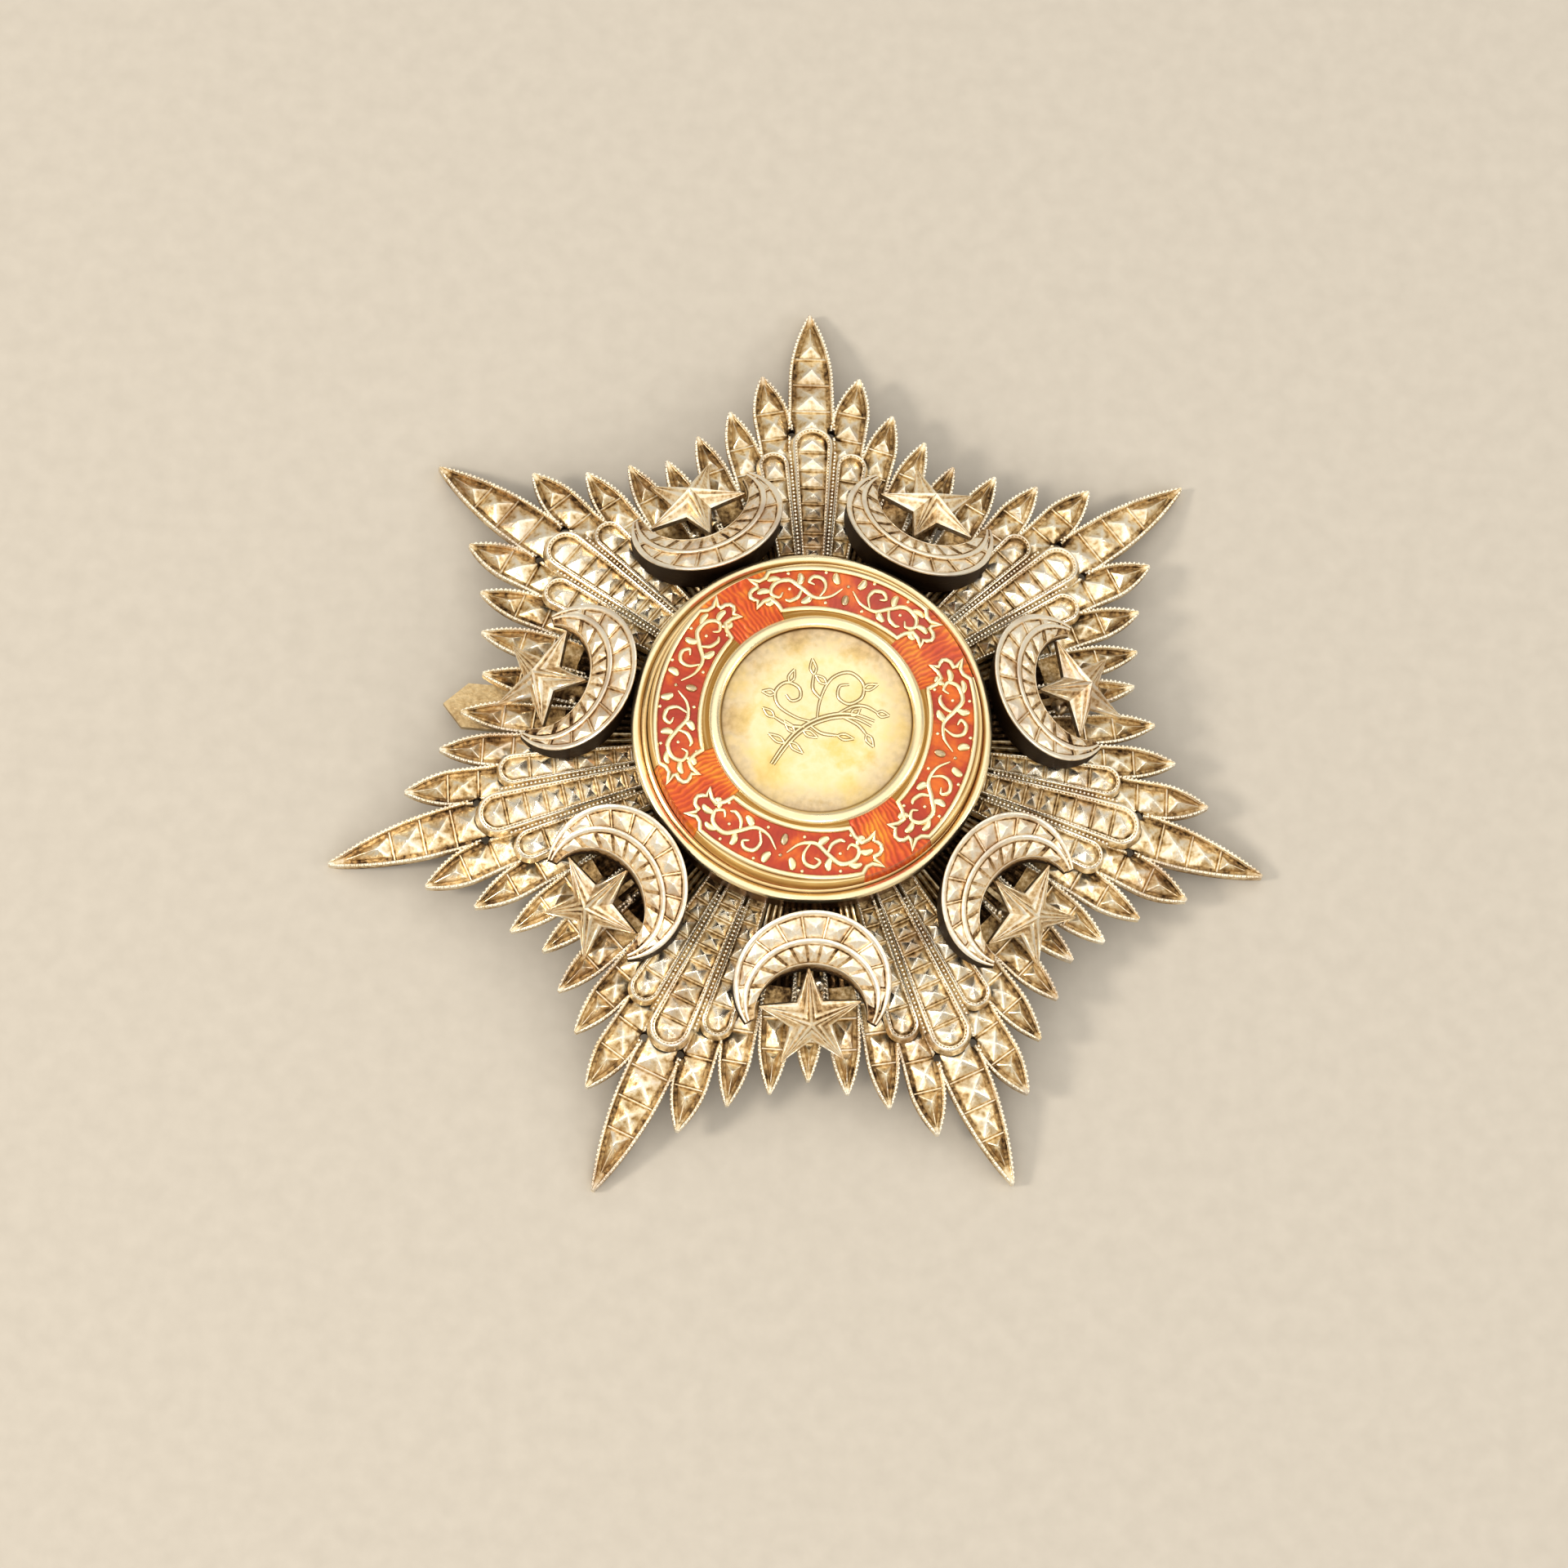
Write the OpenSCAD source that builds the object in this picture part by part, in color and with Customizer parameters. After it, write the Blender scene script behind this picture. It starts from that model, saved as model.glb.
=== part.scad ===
// Breast star: seven sprays of silver rays on a domed body, seven crescents that each hold a small
// star, and a gold medallion with an enamel ring. It lies face up on the tips of its main rays.
// Millimetres. +Z points out of the face and +Y to the top ray. The origin is the middle of the
// star's footprint, on the surface that it lies on.

/* [Rays] */
// Radius from the star's axis to the tips of the main rays
star_r = 46; // [44:0.5:48]
// Height of the rays' underside at the star's axis
dome_h = 8.3; // [7.8:0.1:8.8]
// Half the width of a main ray
ray_w = 1.95; // [1.7:0.05:2.1]
// Length over which a main ray narrows to its tip
ray_taper = 10; // [8:0.5:12]
// Length over which a side ray narrows to its tip
side_taper = 4.8; // [4:0.2:6]
// Width of the raised border round each ray and bar
border_w = 0.45; // [0.35:0.05:0.6]
// Length of the long stud at a main ray's tip
tip_stud = 5.4; // [4.5:0.1:6]
// Length of the long stud at a side ray's tip
side_tip_stud = 4.1; // [3.5:0.1:5]
// Distance from stud to stud along a ray
stud_pitch = 3; // [2.6:0.1:3.4]

/* [Metal] */
// Thickness of the silver under the studs
metal_t = 0.55; // [0.45:0.05:0.7]
// Height of the borders over the channel that they enclose
border_h = 0.55; // [0.4:0.05:0.7]
// Height of the studs over the channel
stud_h = 0.6; // [0.45:0.05:0.75]
// Clearance between pieces that lie on each other
layer_gap = 0.1; // [0.06:0.02:0.16]

/* [Bars] */
// Radius to the round end of a middle bar
bar_r = 32.25; // [31:0.25:33]
// Half the width of a middle bar near its end
bar_w = 1.95; // [1.7:0.05:2.1]
// Radius to the round end of a flanking bar
flank_r = 29.7; // [28.5:0.1:30.5]
// Angle between a middle bar and its flanking bars
flank_angle = 7.63; // [7.4:0.05:8]
// Half the width of a flanking bar near its end
flank_w = 1.45; // [1.3:0.05:1.6]

/* [Crescents] */
// Radius of a crescent's outer edge
crescent_r = 7.4; // [6.8:0.1:7.6]
// Tilt of a crescent's plane, outward and down
crescent_tilt = 36; // [32:1:38]
// Gap between a crescent and the medallion
crescent_gap = 0.9; // [0.6:0.1:1.3]
// Height of a crescent's top over the medallion's rim
crescent_rise = 1.35; // [0.9:0.05:1.7]
// Width of the studded band at the middle of a crescent
crescent_band = 3.36; // [3:0.1:3.7]
// Width of the slope inside the band
crescent_slope = 1.94; // [1.7:0.1:2.1]
// Angle from the middle of a crescent to the end of its horns
horn_angle = 124; // [116:1:128]
// Width of a crescent's two wires
wire_w = 0.45; // [0.35:0.05:0.55]

/* [Small stars] */
// Radius to the points of a small star
small_star_r = 4.9; // [4.5:0.1:5.2]
// Radius to the notches between the points
small_star_notch = 2.05; // [1.8:0.05:2.3]
// Height of the peak over the points
small_star_peak = 1.9; // [1.5:0.1:2.3]
// Tilt of a small star, outward and down
small_star_tilt = 32; // [28:1:36]
// Radius of the post that carries a small star
post_r = 0.9; // [0.7:0.05:1]

/* [Medallion] */
// Outer radius of the medallion's case
case_r = 16.6; // [16:0.1:17]
// Height of the case, from its floor to the top of its rim
case_h = 4.5; // [4.1:0.1:4.9]
// Thickness of the case's floor
case_floor = 1.2; // [0.9:0.1:1.5]
// Width of the rim round the enamel
rim_w = 0.9; // [0.8:0.05:1.1]
// Radius of the post under the case that goes through the star
boss_r = 8; // [7:0.25:8.5]
// Radius of the centre disc
disc_r = 8.9; // [8.6:0.1:9.1]
// Width of the gold ring round the disc
inner_ring_w = 1.15; // [1:0.05:1.3]
// Height of the inner ring's top over the rim
inner_ring_rise = 2.65; // [2.3:0.05:2.8]
// Half the width of the gold wire that frames the cartouches
cartouche_wire = 0.18; // [0.14:0.01:0.22]
// Angle of the first cartouche's middle, from +X
cartouche_turn = 76; // [66:1:86]
// Length of a cartouche from end to end, as an angle
cartouche_span = 81; // [76:1:84]

/* [Back] */
// Outer radius of the plate under the sprays
plate_r = 23; // [22.6:0.1:23.4]
// Radius of the flat cap on the back
cap_r = 14; // [13:0.25:14.5]
// Thickness of the cap
cap_t = 1.5; // [1.2:0.1:1.8]
// Distance between the posts of the brooch pin
pin_span = 26; // [24:0.5:27]
// Radius of the brooch pin
pin_r = 0.6; // [0.5:0.05:0.7]
// Distance of the brooch pin above the star's axis
pin_rise = 18; // [17:0.25:18.5]
// Width of the tab behind the rays
tab_w = 4.4; // [4:0.1:4.8]
// Radius to the point of the tab, as a share of the star's radius
tab_reach = 0.767; // [0.75:0.001:0.785]

/* [Hidden] */

SECTORS = 7;
sector = 360 / SECTORS;
half_sector = sector / 2;
// The footprint's middle lies below the axis, because a ray points up and none points straight down
axis_y = -star_r * (1 - cos(half_sector)) / 2;

// Side rays, one row each
ANGLE = 0; // from the main ray to the tip
REACH = 1; // tip radius as a share of star_r
WIDTH = 2; // half width as a share of ray_w
LEAN = 3; // direction of the axis, from the main ray
STUDS = 4; // studs behind the long one
THIN = 5; // how much thinner it is on both faces than the main ray, as a share of metal_t
MAIN_RAY = [0, 1, 1, 0, 3, 0];
SIDE_RAYS = [
    [7.05, 0.840, 0.83, 11, 2, 0.1],
    [13.0, 0.765, 0.74, 16.5, 2, 0.2],
    [19.3, 0.726, 0.68, 22, 1, 0.3]];
GAP_RAY = [0, 0.696, 0.62, 0, 1, 0];

// Heights over the dome: underside, floor of the channel and top of the border
BASE = 0;
FLOOR = 1;
TOP = 2;
ray_level = [0, metal_t, metal_t + border_h];
bar_base = ray_level[TOP] + layer_gap;
bar_level = [bar_base, bar_base + metal_t, bar_base + metal_t + border_h];
over_bars = bar_level[FLOOR] + max(border_h, stud_h) + layer_gap;
plate_t = 0.9;
plate_level = [-layer_gap - plate_t, -layer_gap, -layer_gap];
inside = 0.2 * metal_t;
tongue_level = [plate_level[BASE] + inside, plate_level[TOP] - inside, plate_level[TOP] - inside];

tip_w = 0.14;
web_r = 9;
web_end = 23.5;
web_angle = half_sector - 0.6;
main_root = 18;
side_root = 23;
bar_root = case_r - 1.2;
bar_ratio = 0.93;
bar_studs = 8;
flank_studs = 3;
stud_gap = 0.14;
sunk = 0.13;
bar_foot = 0.3;

function dome(r) = dome_h * (1 - pow(r / star_r, 2));
function polar(r, a) = [r * sin(a), r * cos(a)];
function over_dome(p, lift) = [p[0], p[1], dome(norm(p)) + lift];

// Medallion heights
case_z = dome(case_r) + over_bars;
rim_z = case_z + case_h;
enamel_r = case_r - rim_w;
ring_r = disc_r + inner_ring_w;
enamel_drop = 0.1;
enamel_rise = 2.25;
shoulder_rise = 1.3;
shoulder_r = enamel_r - 0.25;
seat = 0.05;

// Crescent geometry: circles whose centres move outward, so that they meet at the horns
crescent_c = case_r + crescent_gap + crescent_r * cos(crescent_tilt);
crescent_z = rim_z + crescent_rise - crescent_r * sin(crescent_tilt);
wire_shift = 2;
edge_shift = 3.2;
wire_circle = crescent_r - crescent_band + wire_shift;
edge_circle = crescent_r - crescent_band - crescent_slope + edge_shift;
CRESCENT_STUDS = 11;
slope_drop = 0.9;

// A small star's inner point stands just clear of the crescent's inner edge
star_edge = crescent_r - crescent_band - crescent_slope;
star_tip_r = crescent_c - star_edge * cos(crescent_tilt) + 1.6 * layer_gap;
star_tip_z = crescent_z + star_edge * sin(crescent_tilt) - slope_drop - 3 * layer_gap;
star_c = star_tip_r + small_star_r * cos(small_star_tilt);
star_z = star_tip_z - small_star_r * sin(small_star_tilt);
star_t = 0.45;

module on_axis() translate([0, axis_y, 0]) children();
module at_ray(k) on_axis() rotate([0, 0, -(k - 1) * sector]) children();
module at_gap(k) on_axis() rotate([0, 0, -(k - 0.5) * sector]) children();

// Two triangles for each side between one ring of points and the next
function walls(first, second, sides) = [
    for (i = [0:sides - 1])
        let (a = first * sides + i, b = first * sides + (i + 1) % sides,
             c = second * sides + i, d = second * sides + (i + 1) % sides)
        each [[a, c, d], [a, d, b]]];

// A solid through rings of points. Seen from the first ring's end, each ring runs clockwise.
module loft(rings) {
    sides = len(rings[0]);
    last = len(rings) - 1;
    first_cap = [for (i = [0:sides - 1]) i];
    last_cap = [for (i = [sides - 1:-1:0]) last * sides + i];
    polyhedron(
        points = [for (ring = rings) each ring],
        faces = concat([first_cap, last_cap], [for (k = [0:last - 1]) each walls(k, k + 1, sides)]),
        convexity = 6);
}

// The same through a closed loop of rings
module closed_loft(rings) {
    count = len(rings);
    polyhedron(
        points = [for (ring = rings) each ring],
        faces = [for (k = [0:count - 1]) each walls(k, (k + 1) % count, len(rings[0]))],
        convexity = 6);
}

// The convex solid through a few points
module convex(points) {
    hull()
        polyhedron(points = points, faces = [[for (i = [0:len(points) - 1]) i]]);
}

// The place d inward from a ray's tip and s across it
function on_ray(row, d, s) =
    polar(row[REACH] * star_r, row[ANGLE]) - d * polar(1, row[LEAN])
    + s * [cos(row[LEAN]), -sin(row[LEAN])];

// Half width of a ray at d from its tip
function ray_width(row, taper, d) =
    tip_w + (row[WIDTH] * ray_w - tip_w) * (1 - pow(1 - min(d / taper, 1), 2));
function ray_inside(row, taper, d) = max(ray_width(row, taper, d) - border_w, 0.03);

// One section across a channel with its border, at the given heights over the dome
function channel_section(left, inner_left, inner_right, right, level) = [
    over_dome(right, level[BASE]), over_dome(right, level[TOP]), over_dome(inner_right, level[FLOOR]),
    over_dome(inner_left, level[FLOOR]), over_dome(left, level[TOP]), over_dome(left, level[BASE])];

function ray_section(row, taper, d, level) =
    let (w = ray_width(row, taper, d), inside = ray_inside(row, taper, d))
    channel_section(on_ray(row, d, -w), on_ray(row, d, -inside), on_ray(row, d, inside),
                    on_ray(row, d, w), level);

// Sections of a ray from its tip: solid up to the border's width, then a channel
function tip_sections(row, taper, level) =
    let (closed = [level[BASE], level[TOP], level[TOP]])
    concat([for (share = [0, 0.12]) ray_section(row, taper, share * taper, closed)],
           [for (share = [0.45, 1]) ray_section(row, taper, share * taper, level)]);

// The long stud at a ray's tip, with its ridge towards the point
module long_stud(row, taper, length, level) {
    front = 0.2 * taper;
    middle = 0.55 * length;
    back = length - stud_gap;
    low = level[FLOOR] - sunk;
    convex(concat(
        [over_dome(on_ray(row, front, 0), low)],
        [for (d = [middle, back], side = [-1, 1])
            over_dome(on_ray(row, d, side * (ray_inside(row, taper, d) - stud_gap)), low)],
        [over_dome(on_ray(row, 0.74 * length, 0), level[FLOOR] + stud_h)]));
}

// A square stud between two distances from the tip
module square_stud(row, taper, from, to, level) {
    low = level[FLOOR] - sunk;
    convex(concat(
        [for (d = [from + stud_gap, to - stud_gap], side = [-1, 1])
            over_dome(on_ray(row, d, side * (ray_inside(row, taper, d) - stud_gap)), low)],
        [over_dome(on_ray(row, (from + to) / 2, 0), level[FLOOR] + stud_h)]));
}

module ray_studs(row, taper, length, level) {
    long_stud(row, taper, length, level);
    for (k = [0:row[STUDS] - 1])
        square_stud(row, taper, length + k * stud_pitch, length + (k + 1) * stud_pitch, level);
}

ray_step = 7;

// A ray from its tip to the radius root
module ray(row, taper, length, root) {
    reach = row[REACH] * star_r - root;
    steps = ceil((reach - taper) / ray_step);
    thin = row[THIN] * metal_t;
    level = ray_level + [thin, -thin, -thin];
    loft(concat(
        tip_sections(row, taper, level),
        [for (i = [1:steps])
            ray_section(row, taper, taper + (reach - taper) * i / steps, level)]));
    ray_studs(row, taper, length, level);
}

function mirrored(row) = [-row[ANGLE], row[REACH], row[WIDTH], -row[LEAN], row[STUDS], row[THIN]];

// The sheet that joins the rays of one spray
module web() {
    radii = [web_r, (web_r + web_end) / 2, web_end];
    rotate([0, 0, 90 - web_angle])
        rotate_extrude(angle = 2 * web_angle, $fn = 35)
            polygon(concat([for (r = radii) [r, dome(r) + inside]],
                           [for (i = [2:-1:0]) [radii[i], dome(radii[i]) + metal_t - inside]]));
}

// Round holes beside the middle bar's end, one on either hand
pinhole_r = 0.3;
pinhole_sides = 6;
pinhole_reach = 0.6946;
pinhole_side = 0.83;

module pinholes() {
    for (side = [-1, 1])
        translate([side * pinhole_side * ray_w, pinhole_reach * star_r, 0])
            cylinder(r = pinhole_r, h = 2 * dome_h, $fn = pinhole_sides);
}

module ray_spray() {
    color("silver") difference() {
        union() {
            web();
            ray(MAIN_RAY, ray_taper, tip_stud, main_root);
            for (row = SIDE_RAYS) {
                ray(row, side_taper, side_tip_stud, side_root);
                ray(mirrored(row), side_taper, side_tip_stud, side_root);
            }
        }
        pinholes();
    }
}

// The place at radius r and s across a bar that runs along the radius at angle a
function on_bar(a, r, s) = polar(r, a) + s * [cos(a), -sin(a)];

// Half width of a bar with a round end: it narrows with the radius
function round_end(d, w) = d >= w ? w : sqrt(w * w - (w - d) * (w - d));
function bar_width(end_r, w, r) = min(round_end(end_r - r, w), w * r / (end_r - w));
function bar_inside(end_r, w, r) =
    let (d = end_r - r - border_w)
    d <= 0 ? 0.03 : min(round_end(d, w - border_w), w * r / (end_r - w) - border_w);

// One section of a bar, which keeps below the medallion's case where it runs under it
function bar_section(a, end_r, w, r, level) =
    let (half = bar_width(end_r, w, r), inside = bar_inside(end_r, w, r), foot = half + bar_foot,
         roof = case_z - layer_gap,
         points = concat(
             [over_dome(on_bar(a, r, foot), level[BASE]), over_dome(on_bar(a, r, half), level[TOP])],
             [for (side = [1, -1]) over_dome(on_bar(a, r, side * inside), level[FLOOR])],
             [over_dome(on_bar(a, r, -half), level[TOP]), over_dome(on_bar(a, r, -foot), level[BASE])]))
    [for (p = points) [p[0], p[1], r < case_r + 0.5 ? min(p[2], roof) : p[2]]];

function cell(end_r, k) = (end_r - border_w) * pow(bar_ratio, k);

module bar(a, end_r, w, studs) {
    closed = [bar_level[BASE], bar_level[TOP], bar_level[TOP]];
    plain_r = end_r - w;
    steps = 2;
    loft(concat(
        [for (d = [0.04, border_w]) bar_section(a, end_r, w, end_r - d, closed)],
        [for (d = [border_w + 0.12, 0.55 * w]) bar_section(a, end_r, w, end_r - d, bar_level)],
        [for (i = [0:steps])
            bar_section(a, end_r, w, plain_r + (bar_root - plain_r) * i / steps, bar_level)]));
    for (k = [0:studs - 1]) {
        outer = cell(end_r, k) - stud_gap;
        inner = cell(end_r, k + 1) + stud_gap;
        front = bar_inside(end_r, w, outer - (k == 0 ? 0.3 : 0)) - stud_gap;
        back = bar_inside(end_r, w, inner) - stud_gap;
        low = bar_level[FLOOR] - sunk;
        convex(concat(
            [for (side = [-1, 1]) over_dome(on_bar(a, outer, side * front), low)],
            [for (side = [-1, 1]) over_dome(on_bar(a, inner, side * back), low)],
            [over_dome(on_bar(a, (outer + inner) / 2, 0), bar_level[FLOOR] + stud_h)]));
    }
}

module bar_set() {
    color("silver") {
        bar(0, bar_r, bar_w, bar_studs);
        bar(flank_angle, flank_r, flank_w, flank_studs);
        bar(-flank_angle, flank_r, flank_w, flank_studs);
    }
}

// Distance from a crescent's centre to a circle whose centre lies shift outward, at angle t from
// the crescent's middle
function to_circle(shift, circle, t) =
    -shift * cos(t) + sqrt(circle * circle - pow(shift * sin(t), 2));

// The place on a crescent's tilted plane at distance q and angle t from its middle
function on_crescent(q, t, lift) =
    let (out = -q * cos(t))
    [q * sin(t), crescent_c + out * cos(crescent_tilt), crescent_z - out * sin(crescent_tilt) + lift];

function under_crescent(p) = [p[0], p[1], dome(norm([p[0], p[1]])) + over_bars];

function crescent_spots(t) =
    let (wire = to_circle(wire_shift, wire_circle, t), edge = to_circle(edge_shift, edge_circle, t),
         band = crescent_r - wire, part = band / crescent_band, w = min(wire_w, 0.3 * band))
    [wire, edge, w, part];

// A section of the crescent: outer wall, outer wire, band, inner wire, slope and inner wall
function crescent_section(t) =
    let (s = crescent_spots(t), wire = s[0], edge = s[1], w = s[2], part = s[3])
    [under_crescent(on_crescent(edge, t, 0)), on_crescent(edge, t, -slope_drop * part),
     on_crescent(wire - w / 2, t, -0.3 * part), on_crescent(wire, t, 0),
     on_crescent(wire + w, t, -0.35 * part), on_crescent(crescent_r - w, t, -0.35 * part),
     on_crescent(crescent_r - w / 3, t, 0), under_crescent(on_crescent(crescent_r, t, 0))];

// A square stud on the band between the angles from and to
module crescent_stud(from, to) {
    edge_gap = 1.3;
    corners = [from + edge_gap, to - edge_gap];
    middle = (from + to) / 2;
    m = crescent_spots(middle);
    outer = crescent_r - m[2] - stud_gap;
    low = -0.35 * m[3] - sunk;
    convex(concat(
        [for (t = corners) on_crescent(outer, t, low)],
        [for (t = corners) on_crescent(crescent_spots(t)[0] + m[2] + stud_gap, t, low)],
        [on_crescent((outer + m[0] + m[2]) / 2, middle, 0.05)]));
}

module crescent() {
    color("silver") {
        plain = 10;
        cells = [for (k = [0:CRESCENT_STUDS]) (horn_angle - plain) * (2 * k / CRESCENT_STUDS - 1)];
        loft([for (t = concat([-horn_angle], cells, [horn_angle])) crescent_section(t)]);
        for (k = [0:CRESCENT_STUDS - 1])
            crescent_stud(cells[k], cells[k + 1]);
    }
}

// The place on a small star's plane at distance q and angle t from its inner point
function on_small_star(q, t, lift) =
    let (out = -q * cos(t))
    [q * sin(t), star_c + out * cos(small_star_tilt) + lift * sin(small_star_tilt),
     star_z - out * sin(small_star_tilt) + lift * cos(small_star_tilt)];

module small_star() {
    rim = [for (i = [0:9]) [i % 2 == 0 ? small_star_r : small_star_notch, i * 36]];
    low = -star_t;
    points = concat(
        [on_small_star(0, 0, small_star_peak), on_small_star(0, 0, low)],
        [for (p = rim) on_small_star(p[0], p[1], 0)],
        [for (p = rim) on_small_star(p[0] - 0.12, p[1], low)]);
    foot_z = dome(star_c - post_r) + metal_t + layer_gap;
    color("silver") {
        polyhedron(
            points = points,
            faces = concat(
                [for (i = [0:9]) [0, 2 + (i + 1) % 10, 2 + i]],
                [for (i = [0:9]) [1, 12 + i, 12 + (i + 1) % 10]],
                [for (i = [0:9]) each [[2 + i, 2 + (i + 1) % 10, 12 + (i + 1) % 10],
                                       [2 + i, 12 + (i + 1) % 10, 12 + i]]]),
            convexity = 4);
        translate([0, star_c, foot_z])
            cylinder(r = post_r, h = star_z + 0.4 - foot_z, $fn = 8);
    }
}

// Short ray between two sprays, with the tongue that joins it to the plate
module gap_ray() {
    tip_r = GAP_RAY[REACH] * star_r;
    loft(concat(
        tip_sections(GAP_RAY, side_taper, ray_level),
        [ray_section(GAP_RAY, side_taper, tip_r - web_end - 1.2, [-0.5, metal_t, metal_t])],
        [for (r = [web_end + 0.1, plate_r - 1.5])
            ray_section(GAP_RAY, side_taper, tip_r - r, tongue_level)]));
    long_stud(GAP_RAY, side_taper, side_tip_stud - 0.6, ray_level);
}

// Domed plate under the sprays, with the short rays that show in the gaps between them
module under_star() {
    inner_r = cap_r - 2;
    radii = [inner_r, plate_r];
    color("silver") on_axis() {
        rotate_extrude($fn = 42)
            polygon(concat([for (r = radii) [r, dome(r) + plate_level[BASE]]],
                           [for (i = [1, 0]) [radii[i], dome(radii[i]) + plate_level[TOP]]]));
        for (k = [1:SECTORS])
            rotate([0, 0, -(k - 0.5) * sector])
                gap_ray();
    }
}

// Height of the enamel at radius r: a steep edge, then a slope that rises towards the inner ring
function enamel_z(r) = rim_z + lookup(r, [
    [ring_r, enamel_rise], [shoulder_r, shoulder_rise], [enamel_r, -enamel_drop]]);

module medallion_case() {
    bead = 0.44;
    boss_z = dome(cap_r) + plate_level[BASE];
    color("gold") on_axis() rotate_extrude($fn = 96) {
        polygon([[0, boss_z], [boss_r, boss_z], [boss_r, case_z],
                 [case_r - 0.3, case_z], [case_r, case_z + 0.3],
                 [case_r, rim_z - bead], [enamel_r, rim_z - bead],
                 [enamel_r, case_z + case_floor], [0, case_z + case_floor]]);
        translate([case_r - bead + 0.03, rim_z - bead])
            circle(r = bead, $fn = 32);
    }
}

module enamel_ring() {
    floor_z = case_z + case_floor + seat;
    inner = ring_r + seat;
    outer = enamel_r - seat;
    color("orangered") on_axis() rotate_extrude($fn = 96)
        polygon([[inner, floor_z], [outer, floor_z], [outer, enamel_z(outer)],
                 [shoulder_r, enamel_z(shoulder_r)], [inner, enamel_z(inner)]]);
}

// A cartouche's end, from its inner shoulder to its outer one: how far it stands out, as a share of
// end_l, and where it lies between the inner wire and the outer one
CARTOUCHE_END = [
    [0, 0], [0.1, 0.24], [0.38, 0.42], [0.92, 0.24], [0.76, 0.5], [1, 0.6],
    [0.84, 0.74], [0.5, 0.7], [0.72, 0.96], [0.22, 0.86], [0, 1]];
end_l = 0.425 * (enamel_r - ring_r);

module cartouche(k) {
    inner = ring_r + 0.8;
    outer = shoulder_r - cartouche_wire - seat;
    mean_r = (inner + outer) / 2;
    end_angle = end_l / mean_r * 180 / PI;
    straight = cartouche_span / 2 - end_angle;
    arc_steps = 5;
    // Radius and angle along the outline, anticlockwise from the inner wire's start
    ends = [for (p = CARTOUCHE_END) [inner + (outer - inner) * p[1], straight + end_angle * p[0]]];
    last = len(ends) - 1;
    route = concat(
        [for (i = [0:arc_steps - 1]) [inner, -straight + 2 * straight * i / arc_steps]],
        ends,
        [for (i = [1:arc_steps - 1]) [outer, straight - 2 * straight * i / arc_steps]],
        [for (i = [last:-1:1]) [ends[i][0], -ends[i][1]]]);
    flat = [for (p = route) [p[0] * cos(p[1]), p[0] * sin(p[1])]];
    count = len(flat);
    rings = [for (i = [0:count - 1])
        let (ahead = flat[(i + 1) % count], behind = flat[(i + count - 1) % count],
             way = (ahead - behind) / norm(ahead - behind), side = [-way[1], way[0]] * cartouche_wire,
             p = flat[i], left = p + side, right = p - side, lift = seat + 0.01)
        [[left[0], left[1], enamel_z(norm(left)) + lift],
         [p[0], p[1], enamel_z(norm(p)) + lift + 0.22],
         [right[0], right[1], enamel_z(norm(right)) + lift]]];
    color("gold") on_axis() rotate([0, 0, cartouche_turn + (k - 1) * 90])
        closed_loft(rings);
}

module inner_ring() {
    middle = disc_r + inner_ring_w / 2;
    half = inner_ring_w / 2 - seat;
    floor_z = case_z + case_floor + seat;
    top = rim_z + inner_ring_rise - half;
    color("gold") on_axis() rotate_extrude($fn = 96) {
        translate([middle - half + 0.02, floor_z])
            square([2 * half - 0.04, top - floor_z]);
        translate([middle, top])
            circle(r = half, $fn = 32);
    }
}

module centre_disc() {
    floor_z = case_z + case_floor + seat;
    edge_z = rim_z + inner_ring_rise - 0.55;
    middle_z = edge_z + 0.4;
    color("gold") on_axis() rotate_extrude($fn = 96)
        polygon([[0, floor_z], [disc_r - seat, floor_z], [disc_r - seat, edge_z],
                 [disc_r * 0.66, edge_z + 0.25], [disc_r * 0.33, middle_z - 0.04], [0, middle_z]]);
}

// Flat round cap that closes the back and carries the post of the case
module back_cap() {
    top = dome(cap_r) + plate_level[BASE] - layer_gap;
    color("silver") on_axis() translate([0, 0, top - cap_t])
        cylinder(r = cap_r, h = cap_t, $fn = 96);
}

// The pin with its two posts, hinge barrel and catch, as one plain piece
module brooch_pin() {
    post = 1.2;
    reach = norm([pin_span / 2, pin_rise]) + post;
    top = dome(reach) + plate_level[BASE] - layer_gap;
    pin_z = 1.8;
    color("silver") on_axis() {
        for (side = [-1, 1])
            translate([side * pin_span / 2, pin_rise, pin_z])
                cylinder(r = post, h = top - pin_z, $fn = 32);
        translate([-pin_span / 2, pin_rise, pin_z])
            rotate([0, 90, 0])
                cylinder(r = pin_r, h = pin_span, $fn = 32);
        translate([-pin_span / 2, pin_rise + 1.5, pin_z])
            rotate([90, 0, 0])
                cylinder(r = 1, h = 3, $fn = 32);
    }
}

// Flat tab with a pointed end, which shows behind the rays on the left
tab_t = 0.8;
tab_hold = 4;
tab_point = 0.477 * tab_w;
tab_angle = 171.9;

module side_tab() {
    root_r = plate_r - tab_hold;
    tab_r = tab_reach * star_r;
    radii = [for (i = [0:3]) root_r + (tab_r - root_r) * i / 3];
    drop = plate_level[BASE] - 2.5 * layer_gap;
    color("silver") on_axis() rotate([0, 0, tab_angle]) intersection() {
        translate([0, tab_w / 2, 0])
            rotate([90, 0, 0])
                linear_extrude(tab_w)
                    polygon(concat([for (r = radii) [r, dome(r) + drop]],
                                   [for (i = [3:-1:0]) [radii[i], dome(radii[i]) + drop - tab_t]]));
        linear_extrude(2 * dome_h)
            polygon([[0, -tab_w / 2], [tab_r - tab_point, -tab_w / 2], [tab_r, 0],
                     [tab_r - tab_point, tab_w / 2], [0, tab_w / 2]]);
    }
}

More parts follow.
